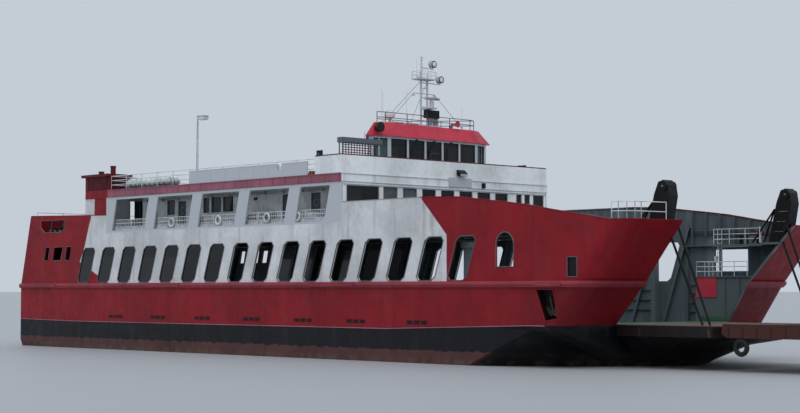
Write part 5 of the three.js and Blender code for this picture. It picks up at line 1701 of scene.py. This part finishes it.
        self.lay("bridge_guard", guard, 0.03, Finish.MAROON, "hull_red", sides=6)


@dataclass
class Masthead(Assembly):
    """Mast: lamps, aerials, platform rail, stays and the radar's dress."""

    x: float = -2.5
    yard_z: float = 17.9
    stay_foot: float = 15.62

    def build(self) -> None:
        """Builds the mast's dress."""
        piece = Piece("mast_fittings")
        for y, z in ((0.81, 20.0), (1.51, 18.98)):
            piece.turned((-2.33, y, z), AHEAD, [(0, 0.19), (0.03, 0.18), (0.05, 0.12)], Finish.LAMP, 20)
            for start in (-2.64, -2.36):
                piece.disc((start, y, z), AHEAD, 0.25, 0.05, Finish.DARK, 20)
        for z in (19.3, 19.75, 20.2):
            piece.turned((self.x, -0.25, z), UP, [(0, 0.1), (0.04, 0.1), (0.04, 0.08), (0.2, 0.08), (0.2, 0.1),
                                                  (0.24, 0.1)], Finish.LAMP, 16)
        for y in (-0.7, 0.68):
            piece.rod((self.x, y, 18.9), (self.x, y, 20.3), 0.014, Finish.RAIL, 6)
        piece.rod((self.x, -1.0, self.yard_z), (self.x, 1.0, self.yard_z), 0.035, Finish.WHITE)
        for y in (-1.0, 1.0):
            piece.turned((self.x, y, 17.7), UP, [(0, 0.07), (0.03, 0.09), (0.17, 0.09), (0.2, 0.04)], Finish.LAMP, 14)
        piece.turned((-2.95, 0, 18.95), UP, [(0, 0.12), (0.03, 0.2), (0.14, 0.22), (0.26, 0.15), (0.3, 0.02)],
                     Finish.RAFT, 20)
        piece.box((-2.74, -2.26), (0.55, 1.05), (16.55, 16.6), Finish.STEEL)
        piece.box((-2.2, -2.18), (0.6, 1.0), (15.7, 16.4), Finish.STEEL)
        piece.box((-2.3, -1.95), (-0.25, 0.95), (16.2, 16.75), Finish.DARK)
        piece.place(bevel=0.004)
        rail = [(-2.93, -0.73, 18.92), (-2.07, -0.73, 18.92), (-2.07, 0.73, 18.92), (-2.93, 0.73, 18.92)]
        self.lay("mast_platform_rail", fence([*rail, rail[0]], 0.5, 0.8, (0.5, 0.25)), 0.016, Finish.RAIL, sides=6)
        stays = [[(self.x, side * near, top), (foot, side * far, self.stay_foot)]
                 for near, top, foot, far in ((0.3, 18.8, -5.7, 1.45), (1.0, self.yard_z, -2.3, 3.6))
                 for side in SIDES.values()]
        self.lay("mast_stays", stays, 0.012, Finish.WIRE, "dark_steel", sides=6)
        radar = Piece("radar_fittings", "white_paint", "radar_scanner")
        radar.box((-1.79, -1.58), (-0.64, 0.64), (17.46, 17.54), Finish.CREAM)
        radar.turned((-1.75, 0, 17.58), UP, [(0, 0.1), (0.05, 0.08), (0.06, 0.02)], Finish.RAIL, 16)
        radar.place(bevel=0.01)


@dataclass
class BowWing(Assembly):
    """One bow wing: frames, pipes, railings, doorway and window rims, a board, bollards, windlass and hoist."""

    # columns: station, foot and z of the upper frames on the flat side
    upper: tuple = ((13.1, 7.3), (14.2, 7.9), (15.3, 7.32), (16.4, 7.32), (17.6, 7.32), (18.8, 7.32), (20.0, 7.32),
                    (21.0, 7.32))
    lower: tuple = (12.7, 15.3)
    inner: Span = (9.62, 9.32)
    casing_y: float = 7.7
    casing_z: float = 5.3
    # station and z of the hoist's sheave
    sheave: Span = (22.95, 10.15)

    def build(self) -> None:
        """Builds one wing."""
        self.frames()
        self.railing()
        self.openings()
        self.hoist()
        self.gear()

    def frames(self) -> None:
        """Stands frames and stringers against the inside of a wing."""
        piece = self.piece("bow_frames", "grey_paint")
        uprights = [(x, (foot, WING.top_z(x) - 0.02)) for x, foot in self.upper]
        uprights += [(x, (2.47, 7.12)) for x in self.lower]
        for x, z in uprights:
            piece.box((x - 0.03, x + 0.03), self.inner, z, Finish.GREY)
        for part in (0.42, 0.53, 0.64, 0.75, 0.81, 0.87, 0.93, 0.985):
            for low, high in ((2.5, 7.13), (7.32, WING.edge(part) - 0.02)):
                levels = [z for z in (low, 4.75, high) if low <= z <= high]
                rings = [[WING.spot(part, z, out, along) for out, along in
                          ((-0.13, -0.03), (-0.13, 0.03), (-0.33, 0.03), (-0.33, -0.03))] for z in levels]
                piece.rings(rings, Finish.GREY)
        for z in (3.0, 3.6, 4.2, 4.75):
            past_pocket = (row(0.02, 0.06, 3), row(0.3, 0.07, 11)) if z < 4.7 else (row(0.02, 0.07, 15),)
            for parts in past_pocket:
                piece.rings([[WING.spot(p, level, out) for out, level in
                              ((-0.125, z), (-0.27, z), (-0.27, z + 0.04), (-0.125, z + 0.04))] for p in parts],
                            Finish.GREY)
        for low, high in ((12.45, 13.45), (14.95, 15.9)) if self.side < 0 else ((12.45, 15.9),):
            piece.box((low, high), self.inner, (7.26, 7.32), Finish.GREY)
        piece.place()

    def railing(self) -> None:
        """Lays the rail on the wing's top and the one on the platform's inner edge."""
        z = 8.24
        parts = [c / 16 for c in (5.1, 6.7, 8.5, 10.3, 12.0, 14.4)]
        top = [WING.spot(p, z, -0.06) for p in parts]
        self.lay("bow_bars", fence(top, 0.98, 1.4, (0.975, 0.45)), 0.025, Finish.RAIL, replaces=["bow_rail"])
        inner = [(16.0, 7.78, PLATFORM_Z), (19.6, 7.78, PLATFORM_Z), (21.1, 5.45, PLATFORM_Z)]
        self.lay("platform_rail", fence(inner, 0.98, 1.2, (0.975, 0.65, 0.33)), 0.022, Finish.RAIL)

    def openings(self) -> None:
        """Rims the doorway and the anchor pocket, and glazes the small window."""
        arch = [(14.2 + 0.7 * math.cos(a), 7.05 + 0.7 * math.sin(a)) for a in row(0, math.pi / 10, 10)]
        door = [(13.5, 5.75), (14.9, 5.75), *arch, (13.5, 7.05)] if self.side < 0 else oblong(14.7, 17.3, 5.6, 7.05)
        rims = [rim(door), rim(oblong(18.93, 19.65, 5.15, 6.25))]
        self.lay("bow_rims", rims, 0.035, Finish.RIM, "hull_red", sides=6)
        pane = self.piece("bow_window", "dark_steel")
        pane.box((18.94, 19.64), (9.68, 9.7), (5.16, 6.24), Finish.DARK)
        pane.place()
        pocket = [(17.3, 9.76, 2.65), (18.2, 9.7, 2.8), (17.9, 9.76, 4.45), (16.6, 9.76, 4.45)]
        liner = self.piece("anchor_pocket_liner", "dark_steel")
        liner.prism([(x, z) for x, _, z in pocket], 1, 9.24, 9.256, Finish.DARK)
        for (x, _, z), (far_x, _, far_z) in zip(pocket, pocket[1:] + pocket[:1]):
            run = Vector((far_x - x, far_z - z)).normalized() * 0.02
            liner.prism([(x, z), (far_x, far_z), (far_x - run.y, far_z + run.x), (x - run.y, z + run.x)], 1,
                        9.25, 9.68, Finish.DARK)
        liner.place()
        self.lay("anchor_pocket_rim", [frame_round(pocket)], 0.045, Finish.RED, "hull_red", sides=8)

    def hoist(self) -> None:
        """Puts cheeks and a pin on the hoist's head, and stays it with two arms."""
        piece = self.piece("hoist_fittings", "dark_steel")
        x, z = self.sheave
        for y in (5.44, 6.3):
            piece.disc((x, y, z), ABEAM, 0.28, 0.06, Finish.DARK, 24)
        piece.disc((x, 5.4, z), ABEAM, 0.07, 1.0, Finish.STEEL, 16)
        for z in (7.9, 8.5, 9.1):
            lean = (z - PLATFORM_Z) * 0.42 * 0.7
            piece.box((21.95 + lean, 22.6 + lean), (5.49, 5.46), (z, z + 0.05), Finish.STEEL)
        for x in (22.0, 22.4):
            piece.rod((x, 5.3, 7.32), (x + 0.3, 5.45, 8.6), 0.02, Finish.RAIL)
        for foot in ((20.6, 6.6, PLATFORM_Z), (20.4, 5.7, PLATFORM_Z)):
            piece.rod((21.9, 5.9, 9.3), foot, 0.06, Finish.DARK)
        piece.place(bevel=0.008)

    def gear(self) -> None:
        """Adds bollards, a windlass, pipes, lamps, the blank board and a ladder."""
        piece = self.piece("bow_gear", "dark_steel")
        for x, y in ((17.6, 8.9), (20.4, 8.6)):
            piece.box((x - 0.5, x + 0.5), (y - 0.2, y + 0.2), (PLATFORM_Z, 7.36), Finish.DARK)
            for dx in (-0.3, 0.3):
                piece.turned((x + dx, y, 7.36), UP, [(0, 0.12), (0.42, 0.12), (0.44, 0.16), (0.5, 0.16),
                                                     (0.52, 0.1)], Finish.DARK, 20)
        piece.turned((18.7, 8.2, 7.75), ABEAM, [(0, 0.4), (0.06, 0.4), (0.06, 0.2), (0.7, 0.2),
                                                (0.7, 0.4), (0.76, 0.4)], Finish.RUST, 24)
        for y in (8.14, 9.0):
            piece.box((18.4, 19.0), (y, y + 0.05), (PLATFORM_Z, 7.85), Finish.GREY)
        piece.box((19.1, 19.6), (8.3, 8.8), (PLATFORM_Z, 7.8), Finish.GREY)
        for z in (8.1, 8.26):
            piece.pipe([(12.6, 9.5, z), (20.8, 9.5, z - 0.25)], 0.035, Finish.GREY)
        piece.box((14.9, 15.1), (9.3, 9.5), (6.2, 6.6), Finish.LAMP)
        piece.place(bevel=0.01)
        board = self.piece("bow_board", "visor_red")
        board.box((14.68, 16.25), (self.casing_y, 7.64), (3.95, 5.22), Finish.VISOR)
        board.place(bevel=0.01)
        casing = self.piece("bow_casing_fittings", "grey_paint")
        for x in (16.9, 18.0):
            casing.box((x, x + 0.05), (self.casing_y, 7.62), (2.47, 5.2), Finish.GREY)
        casing.box((14.62, 20.2), (self.casing_y, 7.6), (5.22, 5.29), Finish.GREY)
        casing.box((15.0, 17.8), (self.casing_y, 7.66), (2.5, 2.75), Finish.CAR_DECK)
        casing.place()
        rail = [(14.65, 9.5, self.casing_z), (14.65, 7.75, self.casing_z), (18.55, 7.75, self.casing_z)]
        self.lay("casing_rail", fence(rail, 0.92, 1.0, (0.92, 0.6, 0.3)), 0.024, Finish.RAIL)
        links = [[(23.1, 5.36, 8.3), (25.3, 5.3, 2.5)], [(22.8, 5.4, PLATFORM_Z), (24.8, 5.3, 2.5)]]
        self.lay("hoist_links", links, 0.07, Finish.DARK, "dark_steel")
        steps = [[(15.7, y, self.casing_z), (15.7, y, 8.3)] for y in (8.6, 9.05)]
        steps += [[(15.7, 8.6, z), (15.7, 9.05, z)] for z in row(5.6, 0.3, 9)]
        self.lay("bow_ladder", steps, 0.02, Finish.RAIL, sides=6)


@dataclass
class Ramps(Assembly):
    """Bow ramp and stern flap: grip bars, side kerbs, eyes, the fender's chain and wheel ramps."""

    root: float = 25.85

    def build(self) -> None:
        """Dresses the ramp and the flap."""
        bars = [((x, 0.0, 2.455), (0.05, 10.3, 0.02)) for x in row(self.root + 0.45, 0.33, 20)]
        self.strike("ramp_grip_bars", bars, Finish.RAMP_DECK, "rusted_steel", "bow_ramp")
        piece = Piece("ramp_fittings", "rusted_steel", "bow_ramp")
        for piece.side in SIDES.values():
            piece.box((self.root + 0.25, self.root + 6.9), (5.3, 5.2), (2.45, 2.58), Finish.RUST)
            for x in row(self.root + 0.6, 0.9, 7):
                piece.box((x, x + 0.08), (5.3, 5.35), (1.9, 2.4), Finish.RUST)
            piece.turned((self.root + 6.0, 5.36, 2.2), ABEAM, [(-0.06, 0.14), (0.02, 0.14)], Finish.DARK, 16)
            piece.rod((self.root + 6.0, 5.3, 2.2), (self.root + 6.0, 5.46, 2.2), 0.05, Finish.STEEL)
        for y in row(-4.6, 2.3, 5):
            piece.box((self.root + 7.1, self.root + 7.45), (y - 0.5, y + 0.5), (2.30, 2.40), Finish.RUST)
        piece.place(bevel=0.01)
        chain = Piece("fender_chain", "rusted_steel", "bow_ramp")
        for y in (-0.34, 0.34):
            links = row(0.0, 0.09, 5)
            for i, drop in enumerate(links):
                spin = [(self.root + 1.4 + (0.04 * math.cos(a) if i % 2 else 0) + y * 0.4,
                         -5.2 + (0 if i % 2 else 0.04 * math.cos(a)),
                         1.86 - drop + 0.06 * math.sin(a)) for a in row(0, math.pi / 5, 10)]
                chain.pipe(spin, 0.012, Finish.CHAIN, 6, True)
        chain.place()
        flap = [((-39.05 - x, 0.0, 2.175), (0.05, 10.9, 0.018)) for x in row(0.3, 0.3, 7)]
        self.strike("flap_grip_bars", flap, Finish.RAMP_DECK, "rusted_steel", "stern_flap")
        kerbs = Piece("flap_fittings", "dark_steel", "stern_flap")
        for kerbs.side in SIDES.values():
            kerbs.box((-41.4, -39.25), (5.58, 5.5), (2.17, 2.26), Finish.DARK)
        kerbs.place(bevel=0.01)


@dataclass
class Mooring(Assembly):
    """After mooring deck and stern: winches, bollards, fairleads, frames and lamps."""

    bollard_y: float = 8.4
    winch_y: float = 5.6
    lamp_x: float = -37.62

    def build(self) -> None:
        """Builds the stern's dress."""
        piece = Piece("mooring_gear", "dark_steel")
        for piece.side in SIDES.values():
            for x in (-35.4, -31.4):
                piece.box((x - 0.6, x + 0.6), (self.bollard_y - 0.22, self.bollard_y + 0.22), (SALOON_Z, 8.76),
                          Finish.DARK)
                for dx in (-0.35, 0.35):
                    piece.turned((x + dx, self.bollard_y, 8.76), UP, [(0, 0.15), (0.5, 0.15), (0.52, 0.2), (0.6, 0.2),
                                                                      (0.62, 0.12)], Finish.DARK, 20)
            piece.turned((-33.6, self.winch_y, 9.3), ABEAM, [(0, 0.5), (0.07, 0.5), (0.07, 0.24), (0.9, 0.24),
                                                             (0.9, 0.5), (0.97, 0.5), (0.97, 0.16), (1.2, 0.16),
                                                             (1.2, 0.22), (1.5, 0.14), (1.75, 0.22)],
                         Finish.RUST, 24)
            for y in (5.5, 6.62):
                piece.box((-34.0, -33.2), (y, y + 0.08), (SALOON_Z, 9.4), Finish.GREY)
            piece.box((-34.0, -33.2), (4.7, 5.5), (SALOON_Z, 9.5), Finish.GREY)
            for x in (-34.9, -34.2, -33.5):
                piece.turned((x, 9.5, 8.72), UP, [(0, 0.09), (0.06, 0.09), (0.1, 0.06), (0.3, 0.06),
                                                  (0.34, 0.09), (0.4, 0.09)], Finish.STEEL, 16)
        piece.place(bevel=0.01)
        frame = Piece("stern_stiffeners", "hull_red")
        for y in (-9.0, -7.9, -6.8, 6.8, 7.9, 9.0):
            rings = [[(x, y - 0.03, z), (x, y + 0.03, z), (x + 0.16, y + 0.03, z), (x + 0.16, y - 0.03, z)]
                     for x, z in ((-38.67, 2.3), (-38.67, 4.75), (-37.29, 10.2))]
            frame.rings(rings, Finish.GREY)
        for y in (-5.78, 5.72):
            frame.box((-38.86, -38.8), (y, y + 0.06), (2.3, 4.75), Finish.STRAKE)
        frame.place()
        lamps = Piece("stern_lamps")
        for y in (-6.6, 0.0, 6.6):
            lamps.box((self.lamp_x, -37.42), (y - 0.25, y + 0.25), (9.6, 9.8), Finish.STEEL)
            lamps.box((-37.66, self.lamp_x), (y - 0.2, y + 0.2), (9.62, 9.78), Finish.LAMP)
        lamps.place(bevel=0.008)
        rail = [(-37.0, y, 10.26) for y in (-9.4, 9.4)]
        self.lay("stern_rail", fence(rail, 0.3, 2.35, (0.3,)), 0.03, Finish.RAIL)


@dataclass
class CarDeck(Assembly):
    """Car deck: deckhead beams, girders, lamps, lashing sockets and pipes."""

    first: float = -36.2
    pitch: float = 2.67
    deckhead: float = 8.555

    def build(self) -> None:
        """Builds the car deck's dress."""
        piece = Piece("deckhead_beams", "grey_paint")
        for x in row(self.first, self.pitch, 14):
            piece.box((x, x + 0.04), (-9.5, 9.5), (8.16, self.deckhead), Finish.GREY)
            piece.box((x - 0.1, x + 0.14), (-9.5, 9.5), (8.12, 8.16), Finish.GREY)
        for y in (-6.4, -3.2, 0.0, 3.2, 6.4):
            piece.box((-37.0, -0.2), (y - 0.02, y + 0.02), (8.3, self.deckhead), Finish.GREY)
        for y in (-8.6, -8.3, 8.2, 8.5):
            piece.pipe([(-36.8, y, 8.05), (-0.4, y, 8.05)], 0.06, Finish.CREAM)
        piece.place()
        lamps = [((x + 1.33, y, 8.22), (1.2, 0.16, 0.1)) for x in row(self.first, self.pitch, 13)
                 for y in (-7.6, -2.4, 2.4, 7.6)]
        self.strike("car_deck_lamps", lamps, Finish.LAMP)
        sockets = [((x, y, 2.106), (0.22, 0.22, 0.012)) for x in row(-30.0, 1.5, 23)
                   for y in (-7.8, -5.2, -2.6, 0.0, 2.6, 5.2, 7.8)]
        self.strike("lashing_sockets", sockets, Finish.RUST, "rusted_steel", shape=self.yard.drum)
        trunk = Piece("vent_trunk_fittings", "grey_paint")
        for trunk.side in SIDES.values():
            for z in row(6.3, 0.1, 5):
                trunk.box((10.6, 10.63), (8.7, 9.0), (z, z + 0.04), Finish.STEEL)
        trunk.place()


@dataclass
class Underwater(Assembly):
    """Below the waterline: bilge keels, anodes and sea-chest gratings."""

    # columns: station, reach of the bilge keel
    keel: tuple = ((-17.5, 0.02), (-16.5, 0.26), (1.0, 0.26), (2.2, 0.02))
    anodes: Row = (-24.0, 3.4, 9)
    chest: Span = (-22.4, -21.5)

    def build(self) -> None:
        """Builds the underwater dress."""
        piece = Piece("bilge_keels", "hull_black")
        for piece.side in SIDES.values():
            rings = [[(x, 9.44, -1.95), (x, 9.44 + reach, -1.95 - reach * 0.7),
                      (x, 9.46 + reach, -1.91 - reach * 0.7), (x, 9.46, -1.91)] for x, reach in self.keel]
            piece.rings(rings, Finish.BOTTOM)
        piece.place()
        anodes = [((x, side * 9.76, -0.8), (0.6, 0.07, 0.16)) for x in row(*self.anodes) for side in SIDES.values()]
        self.strike("hull_anodes", anodes, Finish.STEEL, "grey_paint")
        grates = Piece("sea_chests", "dark_steel")
        for grates.side in SIDES.values():
            for z in row(-1.15, 0.1, 6):
                grates.box(self.chest, (9.745, 9.77), (z, z + 0.04), Finish.DARK)
        grates.place()


@dataclass
class SternGear(Assembly):
    """One side's propeller cap, rope guard and the anodes on its rudder."""

    y: float = 4.2
    shaft_z: float = -1.75

    def build(self) -> None:
        """Builds one side."""
        nut = self.piece("propeller_cap", "bronze", "propeller")
        nut.turned((-35.79, self.y, self.shaft_z), ASTERN, [(0, 0.06), (0.05, 0.11), (0.14, 0.09), (0.2, 0.02)],
                   Finish.BRONZE, 20)
        nut.place()
        guard = self.piece("rope_guard", "hull_black")
        guard.turned((-34.99, self.y, self.shaft_z), AHEAD, [(0, 0.17), (0, 0.2), (0.3, 0.2), (0.34, 0.17)],
                     Finish.BOTTOM, 24)
        guard.place()
        zinc = self.piece("rudder_anodes", "grey_paint", "rudder")
        for out in (-1, 1):
            zinc.box((-37.2, -36.9), (self.y + out * 0.1, self.y + out * 0.14), (-1.9, -1.75), Finish.STEEL)
        zinc.place(bevel=0.01)


def main(frame: dict[str, Any]) -> None:
    """Builds the scene around the frame.
    """
    studio = Studio()
    studio.set_camera()
    studio.lay_floor()
    studio.light()
    Solids(frame["nodes"]).dress()
    yard = Yard()
    for assembly in (Shell, Gallery, DeckSide, Funnel, BridgeDoor, BowWing, SternGear):
        for half in SIDES:
            LOG.info("building %s of %s", assembly.__name__, half)
            assembly(yard, half).build()
    for assembly in (Saloon, TopDeck, Wheelhouse, Masthead, Ramps, Mooring, CarDeck, Underwater):
        LOG.info("building %s", assembly.__name__)
        assembly(yard).build()


if __name__ == "__main__":
    logging.basicConfig(level=logging.INFO, format="%(message)s")
    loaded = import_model()
    main(loaded)
